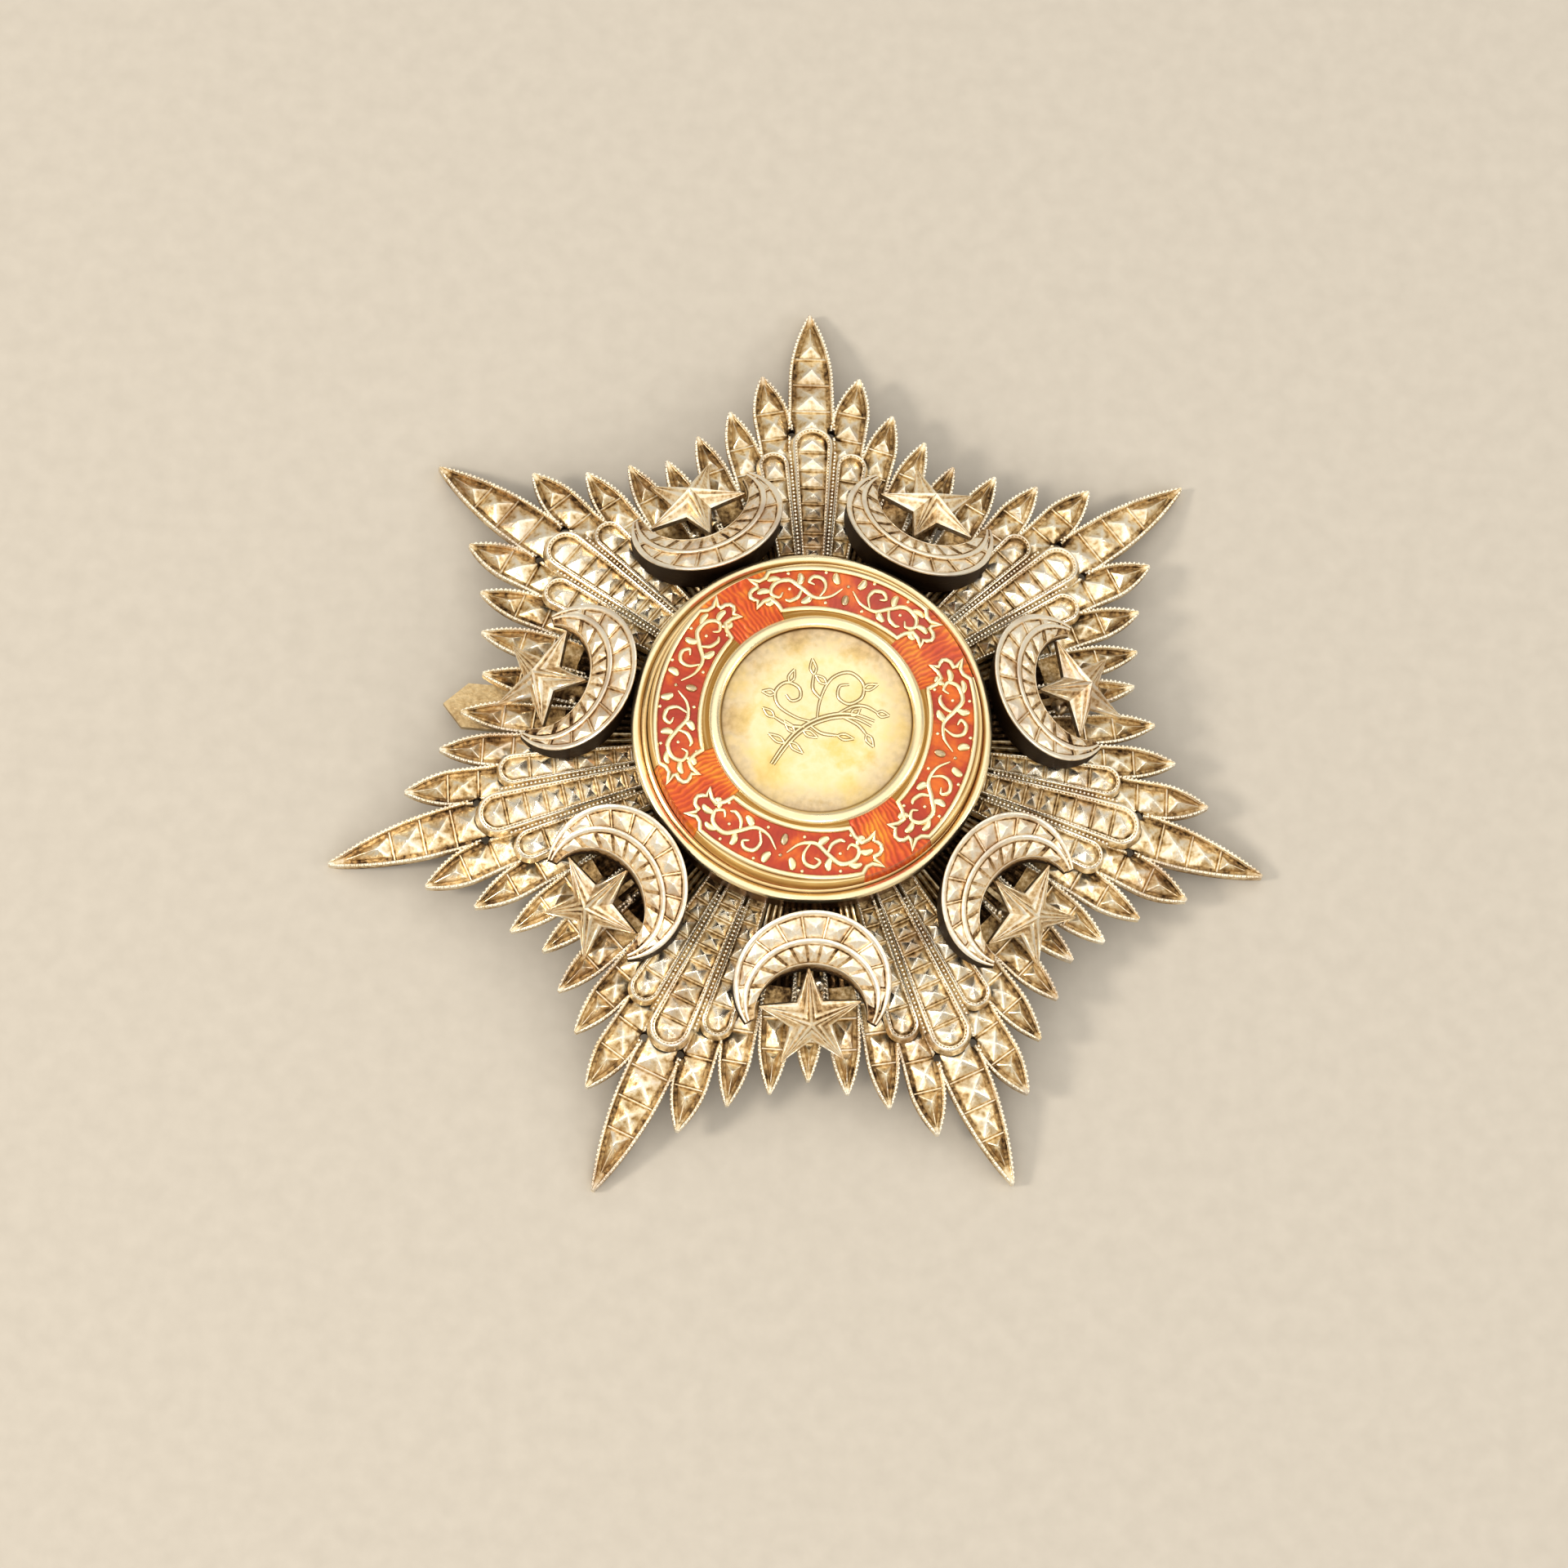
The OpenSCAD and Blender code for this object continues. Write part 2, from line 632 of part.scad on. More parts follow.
for (k = [1:SECTORS]) {
    at_ray(k) ray_spray();
    at_ray(k) bar_set();
    at_gap(k) crescent();
    at_gap(k) small_star();
}
for (k = [1:4])
    cartouche(k);
under_star();
medallion_case();
enamel_ring();
inner_ring();
centre_disc();
back_cap();
brooch_pin();
side_tab();
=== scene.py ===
# %% [markdown]
# A jewelled breast star
#
# This lesson dresses a breast star of an order: seven sprays of studded silver rays on a domed body,
# seven crescents that each hold a small star, and a gold medallion with an orange-red enamel ring. The
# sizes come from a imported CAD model, which is loaded first. Each piece is then built again as a fine
# mesh in the same place, with the beads, ridges and bevels that a silversmith's tools leave.

# %% Load the frame
import math
import random
from collections import namedtuple

import bpy
import numpy as np
from mathutils import Matrix, Vector


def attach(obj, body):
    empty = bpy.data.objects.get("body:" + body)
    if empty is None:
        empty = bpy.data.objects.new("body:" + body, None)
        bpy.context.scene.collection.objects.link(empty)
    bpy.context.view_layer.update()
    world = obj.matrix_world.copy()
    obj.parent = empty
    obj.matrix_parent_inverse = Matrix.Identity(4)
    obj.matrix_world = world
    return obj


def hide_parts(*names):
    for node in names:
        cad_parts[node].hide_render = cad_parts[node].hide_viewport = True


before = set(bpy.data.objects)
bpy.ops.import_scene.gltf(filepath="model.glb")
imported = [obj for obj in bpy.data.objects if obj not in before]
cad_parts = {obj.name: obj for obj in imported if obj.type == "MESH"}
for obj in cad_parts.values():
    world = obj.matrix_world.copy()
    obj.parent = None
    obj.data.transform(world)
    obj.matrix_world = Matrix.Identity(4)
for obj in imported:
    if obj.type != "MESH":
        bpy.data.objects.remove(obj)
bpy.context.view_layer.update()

# %% [markdown]
# Sizes
#
# The star is measured in millimetres from its own axis, which is where its maker would start. The
# body is a shallow dome, and every layer of silver lies at a named height over it. The box of the
# footprint isn't centred on the axis, because one ray points up and none points straight down.

# %% Sizes of the body, in millimetres
MM = 0.001
STAR_R = 46.0
DOME_H = 8.3
SECTORS = 7
SECTOR = 360 / SECTORS
AXIS_Y = -STAR_R * (1 - math.cos(math.radians(SECTOR / 2))) / 2

# Heights over the dome: underside, floor of the channel, top of the border
RAY_FOOT, RAY_FLOOR, RAY_TOP = 0.0, 0.55, 1.1
BAR_FOOT, BAR_FLOOR, BAR_TOP = 1.2, 1.75, 2.3
STUD_H = 0.6
OVER_BARS = 2.45

CASE_R, CASE_H = 16.6, 4.5
CASE_Z = DOME_H * (1 - (CASE_R / STAR_R) ** 2) + OVER_BARS
RIM_Z = CASE_Z + CASE_H
DISC_R = 8.9
RING_R = 10.05
RING_RISE = 2.65
ENAMEL_R, SHOULDER_R = 15.7, 15.45
# Height of the enamel over the rim: at the inner ring, at its shoulder and at its edge
ENAMEL_RISE = (2.25, 1.3, -0.1)


def dome(x, y):
    """Height of the rays' underside at a place."""
    return DOME_H * (1 - (x * x + y * y) / STAR_R**2)


def enamel_z(r):
    """Height of the enamel: a steep edge, then a slope that rises towards the inner ring."""
    return RIM_Z + np.interp(r, [RING_R, SHOULDER_R, ENAMEL_R], ENAMEL_RISE)


print("medallion rim at", round(RIM_Z, 2), "mm")

# %% [markdown]
# A collector for metalwork
#
# Each piece is many small forms: beaded borders, ridges and pyramid studs. They are gathered as
# plain points and faces in one collector and become one mesh at the end, which is much faster than
# joining objects. Each point also carries two values that the materials read later. The first is how
# deep it lies in a recess: it paints the tarnish that stays there when silver is wiped, and with it
# painted shade in hollows, on walls and under other parts, and a painted highlight on crests and
# ridges where it goes below zero. The second is how far along a bead it lies.

# %% The collector
# Rings of a stud from its base to near its apex, as shares of the way down from the apex
STUD_RINGS = (1.0, 0.86, 0.4, 0.12)


def turned(points, degrees):
    """Points turned clockwise about the star's axis, as seen from the front."""
    a = math.radians(-degrees)
    turn = np.array([[math.cos(a), -math.sin(a), 0], [math.sin(a), math.cos(a), 0], [0, 0, 1]])
    return points @ turn.T


class Metalwork:
    def __init__(self):
        self.points = []
        self.faces = []
        self.recess = []
        self.along = []
        self.count = 0

    def add(self, points, faces, recess, along=None):
        points = np.asarray(points, float).reshape(-1, 3)
        n = len(points)
        self.points.append(points)
        self.recess.append(np.broadcast_to(np.asarray(recess, float), (n,)).copy())
        self.along.append(np.full(n, -1.0) if along is None else np.asarray(along, float).ravel())
        self.faces += [tuple(i + self.count for i in face) for face in faces]
        self.count += n

    def join(self, other, degrees=0.0):
        """Everything from another collector, turned about the star's axis."""
        points = turned(np.vstack(other.points), degrees)
        self.add(points, other.faces, np.concatenate(other.recess), np.concatenate(other.along))

    def grid(self, rows, recess, around=False, closed=False, along=None, caps=False, flip=False):
        """Quads between rows of points. around joins each row's ends, closed joins the last row to
        the first, and flip turns the faces over."""
        rows = np.asarray(rows, float)
        n, m = rows.shape[:2]
        recess = np.broadcast_to(recess, (n, m))
        if flip:
            rows, recess = rows[:, ::-1], recess[:, ::-1]
            along = None if along is None else np.asarray(along)[:, ::-1]
        faces = []
        for i in range(n if closed else n - 1):
            for j in range(m if around else m - 1):
                a, b = i * m + j, i * m + (j + 1) % m
                c, d = ((i + 1) % n) * m + (j + 1) % m, ((i + 1) % n) * m + j
                faces.append((a, b, c, d))
        if caps:
            faces.append(tuple(range(m - 1, -1, -1)))
            faces.append(tuple((n - 1) * m + j for j in range(m)))
        self.add(rows, faces, recess.ravel(), along)

    def stud(self, corners, apex, base_recess=0.8, soften=0.07, facet=0.5):
        """A pyramid on a polygon of corners, with blunt ridges. A painted highlight makes the ridges and apex
        bright, and the facets carry painted shade and tarnish.
        """
        corners = np.asarray(corners, float)
        apex = np.asarray(apex, float)
        n = len(corners)
        base = []
        for i in range(n):
            before, after = corners[i - 1], corners[(i + 1) % n]
            for near in (before, after):
                way = near - corners[i]
                base.append(corners[i] + way * min(soften / max(np.linalg.norm(way), 1e-6), 0.3))
            base.append((corners[i] + corners[(i + 1) % n]) / 2)
        base = np.array(base)
        rings = [apex + (base - apex) * share for share in STUD_RINGS]
        points = np.vstack(rings + [[apex - (apex - corners.mean(0)) * 0.04]])
        m = len(base)
        faces = [(k + i, k + (i + 1) % m, k + m + (i + 1) % m, k + m + i)
                 for k in (0, m, 2 * m) for i in range(m)]
        faces += [(3 * m + i, 3 * m + (i + 1) % m, 4 * m) for i in range(m)]
        # Recess of each ring: painted shade and tarnish at the base, a painted highlight below zero on the
        # ridges and apex, and the facet value between them
        recess = [base_recess] * m + [0.1, 0.1, facet] * n + [-0.2, -0.2, facet] * n + [-0.3] * (m + 1)
        self.add(points, faces, recess)


# %% [markdown]
# Milgrain
#
# A milgrain wheel is a small notched roller that leaves a row of round beads along an edge. Rolled
# beads are all alike, so one shape with six sides is copied to every place of a row at once.

# %% Milgrain
BEAD_SIDES = 6


def beads(work, places, radius=0.15):
    """A small round bead at each place, as a milgrain wheel leaves them."""
    places, n = np.asarray(places, float), BEAD_SIDES
    angles = np.radians(np.arange(n) * 360 / n)
    ring = np.stack([np.cos(angles), np.sin(angles), np.zeros(n)], 1) * radius
    shape = np.vstack([ring + [0, 0, -0.05], ring * 0.75 + [0, 0, 0.6 * radius], [[0, 0, 0.85 * radius]]])
    faces = []
    for k in range(len(places)):
        o = len(shape) * k
        faces += [(o + i, o + (i + 1) % n, o + n + (i + 1) % n, o + n + i) for i in range(n)]
        faces += [(o + n + i, o + n + (i + 1) % n, o + 2 * n) for i in range(n)]
    # Painted highlight on each bead's top, and painted shade and tarnish at its base
    recess = np.tile([0.5] * n + [-0.2] * n + [-0.3], len(places))
    work.add((places[:, None, :] + shape[None]).reshape(-1, 3), faces, recess)


# %% [markdown]
# From collector to object
#
# Millimetres become metres and the axis moves to its place in the frame. Faces that meet at a small
# angle are shaded smooth, and the rest stay crisp, as on struck silver.

# %% Finish a piece
def finish_piece(work, name, nodes, material, degrees=0.0, crease=32.0):
    """One mesh object from the collector. It rides with the body and stands for the CAD nodes."""
    points = turned(np.vstack(work.points), degrees)
    points[:, 1] += AXIS_Y
    mesh = bpy.data.meshes.new(name)
    mesh.from_pydata((points * MM).tolist(), [], work.faces)
    for label, values in (("recess", work.recess), ("along", work.along)):
        layer = mesh.attributes.new(label, "FLOAT", "POINT")
        layer.data.foreach_set("value", np.concatenate(values).astype(np.float32))
    mesh.validate()
    mesh.shade_smooth()
    mesh.set_sharp_from_angle(angle=math.radians(crease))
    piece = bpy.data.objects.new(name, mesh)
    bpy.context.scene.collection.objects.link(piece)
    piece.data.materials.append(material)
    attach(piece, "root")
    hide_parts(*nodes)
    return piece


# %% [markdown]
# Colour and node helpers
#
# Colours are written as the sRGB hex values that an eye reads off a screen, and one function makes
# them linear for the shader. Another adds a node with its settings and links in one line. The stops
# of a colour ramp are one of those settings.

# %% Helpers for materials
def srgb(code):
    """A linear colour from an sRGB hex value."""
    parts = [int(code[i:i + 2], 16) / 255 for i in (1, 3, 5)]
    return tuple(c / 12.92 if c <= 0.04045 else ((c + 0.055) / 1.055) ** 2.4 for c in parts) + (1.0,)


def add_node(tree, kind, settings=None, links=None):
    """A node of that kind, with settings by property or input name, and its inputs linked."""
    node = tree.nodes.new(kind)
    for key, value in (settings or {}).items():
        if key == "stops":
            elements = node.color_ramp.elements
            while len(elements) < len(value):
                elements.new(0.5)
            for element, (position, code) in zip(elements, value):
                element.position = position
                element.color = srgb(code)
        elif isinstance(key, int) or key in node.inputs:
            node.inputs[key].default_value = value
        else:
            setattr(node, key, value)
    for key, source in (links or {}).items():
        tree.links.new(source, node.inputs[key])
    return node


def new_material(name):
    """An empty material with its nodes and its Principled shader."""
    material = bpy.data.materials.new(name)
    material.use_nodes = True
    tree = material.node_tree
    return material, tree, tree.nodes["Principled BSDF"]


print("mid grey in linear values:", [round(v, 3) for v in srgb("#808080")[:3]])

# %% [markdown]
# Struck silver with an old patina, painted shade and painted highlights
#
# The rays are struck and chased silver, long since tarnished to a warm champagne and wiped bright on
# the high parts. Wiping leaves the tarnish in the recesses, so the recess value of each point drives
# the colour from bright metal to brown. The same value also paints shade: walls, hollows and parts
# hidden under others go near black, and crests and ridges carry a painted highlight. Fine pits of
# 0.15 mm and soft hammer marks of about 1 mm break up the reflections, and a pinkish-grey bloom dulls
# broad patches. The larger milgrain beads are modelled. The finest ones, about 0.25 mm apart along a
# ray's crest, follow the along value as bump only, because they are as fine as the picture can show.

# %% Silver
# Size of each noise in millimetres, and its detail
SILVER_NOISES = {"blotch": (3.0, 4.0), "grain": (0.4, 3.0), "pits": (0.15, 2.0), "haze": (5.5, 3.0)}
FINE_MILGRAIN = 0.25
# The darkest colour is tarnish and painted shade: walls, holes and hidden plates with a recess over 1 reach
# it
TARNISH_AND_PAINTED_SHADE, GREY_BLOOM = "#34261a", "#c9b4a6"


def silver_material(name, bright, middle, dark, spots, roughness=0.3):
    material, tree, shader = new_material(name)
    place = add_node(tree, "ShaderNodeTexCoord").outputs["Object"]
    recess = add_node(tree, "ShaderNodeAttribute", {"attribute_name": "recess"}).outputs["Fac"]
    along = add_node(tree, "ShaderNodeAttribute", {"attribute_name": "along"}).outputs["Fac"]
    noise = {}
    for label, (size, detail) in SILVER_NOISES.items():
        noise[label] = add_node(tree, "ShaderNodeTexNoise", {"Scale": 1000 / size, "Detail": detail},
                                {"Vector": place}).outputs["Fac"]
    # Depth is the recess value, shifted by the blotches and the grain: tarnish together with painted shade
    # and painted highlight
    shift = add_node(tree, "ShaderNodeMath", {"operation": "MULTIPLY_ADD", 1: 1.1, 2: -0.5},
                     {0: noise["blotch"]})
    fine = add_node(tree, "ShaderNodeMath", {"operation": "MULTIPLY_ADD", 1: 1.0, 2: -0.44},
                    {0: noise["grain"]})
    both = add_node(tree, "ShaderNodeMath", {"operation": "ADD"}, {0: shift.outputs[0], 1: fine.outputs[0]})
    depth = add_node(tree, "ShaderNodeMath", {"operation": "MULTIPLY_ADD", 1: 0.66, "use_clamp": True},
                     {0: recess, 2: both.outputs[0]})
    stops = [(0.0, bright), (0.32, middle), (0.6, spots), (0.85, dark), (1.0, TARNISH_AND_PAINTED_SHADE)]
    warm = add_node(tree, "ShaderNodeValToRGB", {"stops": stops}, {"Fac": depth.outputs[0]})
    greyed = add_node(tree, "ShaderNodeMapRange", {"From Min": 0.52, "From Max": 0.68, "To Max": 0.55},
                      {"Value": noise["haze"]})
    colour = add_node(tree, "ShaderNodeMix",
                      {"data_type": "RGBA", "blend_type": "MULTIPLY", 7: srgb(GREY_BLOOM)},
                      {"Factor": greyed.outputs["Result"], 6: warm.outputs["Color"]})
    gloss = add_node(tree, "ShaderNodeMapRange",
                     {"From Min": 0.0, "From Max": 1.0, "To Min": roughness, "To Max": roughness + 0.28},
                     {"Value": depth.outputs[0]})
    turns = add_node(tree, "ShaderNodeMath", {"operation": "MULTIPLY", 1: 2 * math.pi / FINE_MILGRAIN},
                     {0: along})
    wave = add_node(tree, "ShaderNodeMath", {"operation": "SINE"}, {0: turns.outputs[0]})
    on_crest = add_node(tree, "ShaderNodeMath", {"operation": "GREATER_THAN", 1: -0.5}, {0: along})
    milgrain = add_node(tree, "ShaderNodeMath", {"operation": "MULTIPLY"},
                        {0: wave.outputs[0], 1: on_crest.outputs[0]})
    # Bumps one on the other: source, strength and depth in metres
    normal = None
    for height, strength, distance in ((milgrain.outputs[0], 0.5, 0.00006), (noise["pits"], 0.35, 0.00004),
                                       (noise["grain"], 0.4, 0.0001)):
        links = {"Height": height} if normal is None else {"Height": height, "Normal": normal}
        bump = add_node(tree, "ShaderNodeBump", {"Strength": strength, "Distance": distance}, links)
        normal = bump.outputs["Normal"]
    shader.inputs["Metallic"].default_value = 1.0
    tree.links.new(colour.outputs[2], shader.inputs["Base Color"])
    tree.links.new(gloss.outputs["Result"], shader.inputs["Roughness"])
    tree.links.new(normal, shader.inputs["Normal"])
    return material


# Each finish: bright metal, its usual tone, dark recesses, tarnish spots and roughness. The dark
# recesses are tarnish and painted shade. The bars and the small stars stand highest, and they and the
# crescents are painted lighter than the rays, as painted light against their neighbours' shade. The
# plain back is darker and rougher
ray_silver = silver_material("struck_silver_rays", "#fffaea", "#eedcb6", "#70573a", "#be9f6c", 0.28)
bar_silver = silver_material("struck_silver_bars", "#fffbee", "#f4e6c8", "#7c623f", "#ccb284", 0.27)
crescent_silver = silver_material("chased_silver_crescents", "#fffbee", "#f4e4c6", "#74563a", "#ccae7e", 0.38)
star_silver = silver_material("cut_silver_small_stars", "#fffcf0", "#f9eaca", "#7b5d3e", "#d0b386", 0.28)
back_silver = silver_material("plain_silver_back", "#d0bb92", "#b8a076", "#7a5f40", "#9c8158", 0.42)
print("finishes:", [m.name for m in (ray_silver, bar_silver, crescent_silver, star_silver, back_silver)])

# %% [markdown]
# Gold
#
# The rims are gold, polished by wear, so they have a soft shine with faint scratches, and their
# grooves are painted warm brown as shade. The disc is paler and has the uneven bloom of old gilding:
# olive-yellow patches in the middle and a pinkish-grey tarnish towards its edge.

# %% Gold for the rims and wires
def gold_material(name, bright, middle, dark, roughness=0.22):
    material, tree, shader = new_material(name)
    place = add_node(tree, "ShaderNodeTexCoord").outputs["Object"]
    recess = add_node(tree, "ShaderNodeAttribute", {"attribute_name": "recess"}).outputs["Fac"]
    # Clouds of 4 mm and rubbed marks of 0.25 mm
    cloud = add_node(tree, "ShaderNodeTexNoise", {"Scale": 1000 / 4.0, "Detail": 5.0}, {"Vector": place})
    rub = add_node(tree, "ShaderNodeTexNoise", {"Scale": 1000 / 0.25, "Detail": 2.0}, {"Vector": place})
    shift = add_node(tree, "ShaderNodeMath", {"operation": "MULTIPLY_ADD", 1: 0.5, 2: -0.2},
                     {0: cloud.outputs["Fac"]})
    depth = add_node(tree, "ShaderNodeMath", {"operation": "ADD", "use_clamp": True},
                     {0: recess, 1: shift.outputs[0]})
    # The recess paints shade in warm brown in grooves, on walls and beside wires, shifted by the clouds
    colour = add_node(tree, "ShaderNodeValToRGB", {"stops": [(0.0, bright), (0.35, middle), (1.0, dark)]},
                      {"Fac": depth.outputs[0]})
    gloss = add_node(tree, "ShaderNodeMapRange",
                     {"From Min": 0.3, "From Max": 0.8, "To Min": roughness, "To Max": roughness + 0.2},
                     {"Value": cloud.outputs["Fac"]})
    bump = add_node(tree, "ShaderNodeBump", {"Strength": 0.3, "Distance": 0.00004},
                    {"Height": rub.outputs["Fac"]})
    shader.inputs["Metallic"].default_value = 1.0
    tree.links.new(colour.outputs["Color"], shader.inputs["Base Color"])
    tree.links.new(gloss.outputs["Result"], shader.inputs["Roughness"])
    tree.links.new(bump.outputs["Normal"], shader.inputs["Normal"])
    return material


rim_gold = gold_material("worn_gold_rims", "#fff2cc", "#f2d7a0", "#7a5228")
wire_gold = gold_material("inlaid_gold_wire", "#fff3d0", "#f3dca4", "#a3793c", 0.25)
print("gold finishes: rims and wires")

# %% Gilded disc
disc_gold, tree, shader = new_material("gilded_disc")
place = add_node(tree, "ShaderNodeTexCoord").outputs["Object"]
recess = add_node(tree, "ShaderNodeAttribute", {"attribute_name": "recess"}).outputs["Fac"]
# Blooms of 5 mm and specks of 0.6 mm
cloud = add_node(tree, "ShaderNodeTexNoise", {"Scale": 1000 / 5.0, "Detail": 5.0, "Roughness": 0.6},
                 {"Vector": place})
speck = add_node(tree, "ShaderNodeTexNoise", {"Scale": 1000 / 0.6, "Detail": 4.0}, {"Vector": place})
bloom = add_node(tree, "ShaderNodeValToRGB",
                 {"stops": [(0.28, "#dfc174"), (0.4, "#f4dc98"), (0.55, "#faebc0"), (0.66, "#f5da8e"),
                            (0.78, "#dac27a")]}, {"Fac": cloud.outputs["Fac"]})
# Share of the way from the disc's middle to its edge, where the tarnish creeps in
centred = add_node(tree, "ShaderNodeVectorMath", {"operation": "SUBTRACT", 1: (0, AXIS_Y / 1000, 0)},
                   {0: place})
flat = add_node(tree, "ShaderNodeVectorMath", {"operation": "MULTIPLY", 1: (1, 1, 0)},
                {0: centred.outputs[0]})
radius = add_node(tree, "ShaderNodeVectorMath", {"operation": "LENGTH"}, {0: flat.outputs[0]})
share = add_node(tree, "ShaderNodeMath", {"operation": "DIVIDE", 1: DISC_R / 1000},
                 {0: radius.outputs["Value"]})
edge = add_node(tree, "ShaderNodeMath", {"operation": "MULTIPLY_ADD", 1: 0.6},
                {0: cloud.outputs["Fac"], 2: share.outputs[0]})
near_edge = add_node(tree, "ShaderNodeMapRange", {"From Min": 1.0, "From Max": 1.42, "To Max": 0.9},
                     {"Value": edge.outputs[0]})
tarnish = add_node(tree, "ShaderNodeValToRGB", {"stops": [(0.35, "#9c8068"), (0.6, "#c4a888")]},
                   {"Fac": speck.outputs["Fac"]})
stained = add_node(tree, "ShaderNodeMix", {"data_type": "RGBA"},
                   {"Factor": near_edge.outputs["Result"], 6: bloom.outputs["Color"],
                    7: tarnish.outputs["Color"]})
# Painted highlight on the sprig's raised lines and painted shade in the cuts beside them
high = add_node(tree, "ShaderNodeMapRange", {"From Min": 0.45, "From Max": 0.1, "To Max": 0.8},
                {"Value": recess})
line_highlight_paint = add_node(tree, "ShaderNodeMix", {"data_type": "RGBA", 7: srgb("#fff6cf")},
                 {"Factor": high.outputs["Result"], 6: stained.outputs[2]})
deep = add_node(tree, "ShaderNodeMapRange", {"From Min": 0.55, "From Max": 0.95, "To Max": 0.9},
                {"Value": recess})
cut_shade_paint = add_node(tree, "ShaderNodeMix", {"data_type": "RGBA", 7: srgb("#7d6233")},
                     {"Factor": deep.outputs["Result"], 6: line_highlight_paint.outputs[2]})
scratch = add_node(tree, "ShaderNodeBump", {"Strength": 0.25, "Distance": 0.00004},
                   {"Height": speck.outputs["Fac"]})
tree.links.new(cut_shade_paint.outputs[2], shader.inputs["Base Color"])
tree.links.new(scratch.outputs["Normal"], shader.inputs["Normal"])
shader.inputs["Metallic"].default_value = 1.0
shader.inputs["Roughness"].default_value = 0.34
print("gilded disc:", len(tree.nodes), "nodes")

# %% [markdown]
# Translucent enamel over engraved gold
#
# The ring is filled with glass enamel that lets the gold under it shine through. The engraver cut
# wavy lines across the ring first, so that they glow and darken as the light moves. They are drawn
# 0.52 mm apart, a little coarser than the real ones, so that they show. Here the lines are a bump
# under a clear coat, which is the glass's own smooth surface. The field inside each frame is rosier
# than the orange outside, so its mask is a value on the points.

# %% Enamel
LINE_PITCH = 0.52
enamel, tree, shader = new_material("translucent_enamel")
place = add_node(tree, "ShaderNodeTexCoord").outputs["Object"]
field = add_node(tree, "ShaderNodeAttribute", {"attribute_name": "recess"}).outputs["Fac"]
turn = add_node(tree, "ShaderNodeAttribute", {"attribute_name": "along"}).outputs["Fac"]
warp = add_node(tree, "ShaderNodeTexNoise", {"Scale": 1000 / 2.5, "Detail": 2.0}, {"Vector": place})
cloud = add_node(tree, "ShaderNodeTexNoise", {"Scale": 1000 / 3.0, "Detail": 4.0}, {"Vector": place})
# The along value is the distance round the ring in millimetres, and the warp makes the lines wavy
wavy = add_node(tree, "ShaderNodeMath", {"operation": "MULTIPLY_ADD", 1: 1.6},
                {0: warp.outputs["Fac"], 2: turn})
turns = add_node(tree, "ShaderNodeMath", {"operation": "MULTIPLY", 1: 2 * math.pi / LINE_PITCH},
                 {0: wavy.outputs[0]})
wave = add_node(tree, "ShaderNodeMath", {"operation": "SINE"}, {0: turns.outputs[0]})
shown = add_node(tree, "ShaderNodeMath", {"operation": "MULTIPLY_ADD", 1: -0.85, 2: 1.0}, {0: field})
lines = add_node(tree, "ShaderNodeMath", {"operation": "MULTIPLY"},
                 {0: wave.outputs[0], 1: shown.outputs[0]})
outside, inside = [
    add_node(tree, "ShaderNodeValToRGB", {"stops": stops}, {"Fac": cloud.outputs["Fac"]}).outputs["Color"]
    for stops in ([(0.3, "#c94004"), (0.5, "#dd6006"), (0.68, "#f8a01a")],
                  [(0.32, "#aa3014"), (0.5, "#c04010"), (0.64, "#e87a12")])]
ground = add_node(tree, "ShaderNodeMix", {"data_type": "RGBA"}, {"Factor": field, 6: outside, 7: inside})
cut = add_node(tree, "ShaderNodeMapRange", {"From Min": -1.0, "From Max": 1.0, "To Min": 0.0, "To Max": 0.6},
               {"Value": lines.outputs[0]})
shaded = add_node(tree, "ShaderNodeMix", {"data_type": "RGBA", "blend_type": "MULTIPLY", 7: srgb("#c8502a")},
                  {"Factor": cut.outputs["Result"], 6: ground.outputs[2]})
engraved = add_node(tree, "ShaderNodeBump", {"Strength": 0.5, "Distance": 0.00008},
                    {"Height": lines.outputs[0]})
tree.links.new(shaded.outputs[2], shader.inputs["Base Color"])
tree.links.new(engraved.outputs["Normal"], shader.inputs["Normal"])
shader.inputs["Metallic"].default_value = 0.35
shader.inputs["Roughness"].default_value = 0.38
shader.inputs["Coat Weight"].default_value = 0.45
shader.inputs["Coat Roughness"].default_value = 0.06
print("enamel:", len(tree.nodes), "nodes")

# %% [markdown]
# Rays
#
# A ray is a channel with a raised bead along each side, and pyramid studs stand in it with a thin
# ridge between each two. One row of points runs across the channel at each station from the tip, so
# the outline and the beads can follow the curve that narrows to the point. A milgrain wheel went
# along both edges, and its beads are modelled because they give each ray its sparkling outline.
# Small pinholes go right through each spray, so they are cut as real holes.

# %% Ray tables and helpers
# Degrees from the main ray to the tip, tip's radius, half width, degrees that its axis leans, studs,
# and how much thinner it is than the main ray on either face
Ray = namedtuple("Ray", "tip_angle tip_r half_w lean studs thinner")
MAIN_RAY = Ray(0.0, 46.0, 1.95, 0.0, 3, 0.0)
SIDE_RAYS = [Ray(7.05, 38.64, 1.62, 11.0, 3, 0.055), Ray(13.0, 35.19, 1.44, 16.5, 2, 0.11),
             Ray(19.3, 33.4, 1.33, 22.0, 2, 0.165)]
GAP_RAY = Ray(0.0, 32.02, 1.21, 0.0, 1, 0.0)
# Across a border from the outside: distance from the edge, height share, recess
# The recess column paints a highlight on the bead's crest below zero, and painted shade and tarnish down in
# the channel
BORDER = [(0.0, -1.0, 0.9), (0.0, 0.62, 0.3), (0.03, 0.88, -0.1), (0.12, 1.0, -0.3), (0.22, 0.97, -0.25),
          (0.29, 0.72, 0.15), (0.33, 0.2, 0.75), (0.38, 0.0, 0.95)]
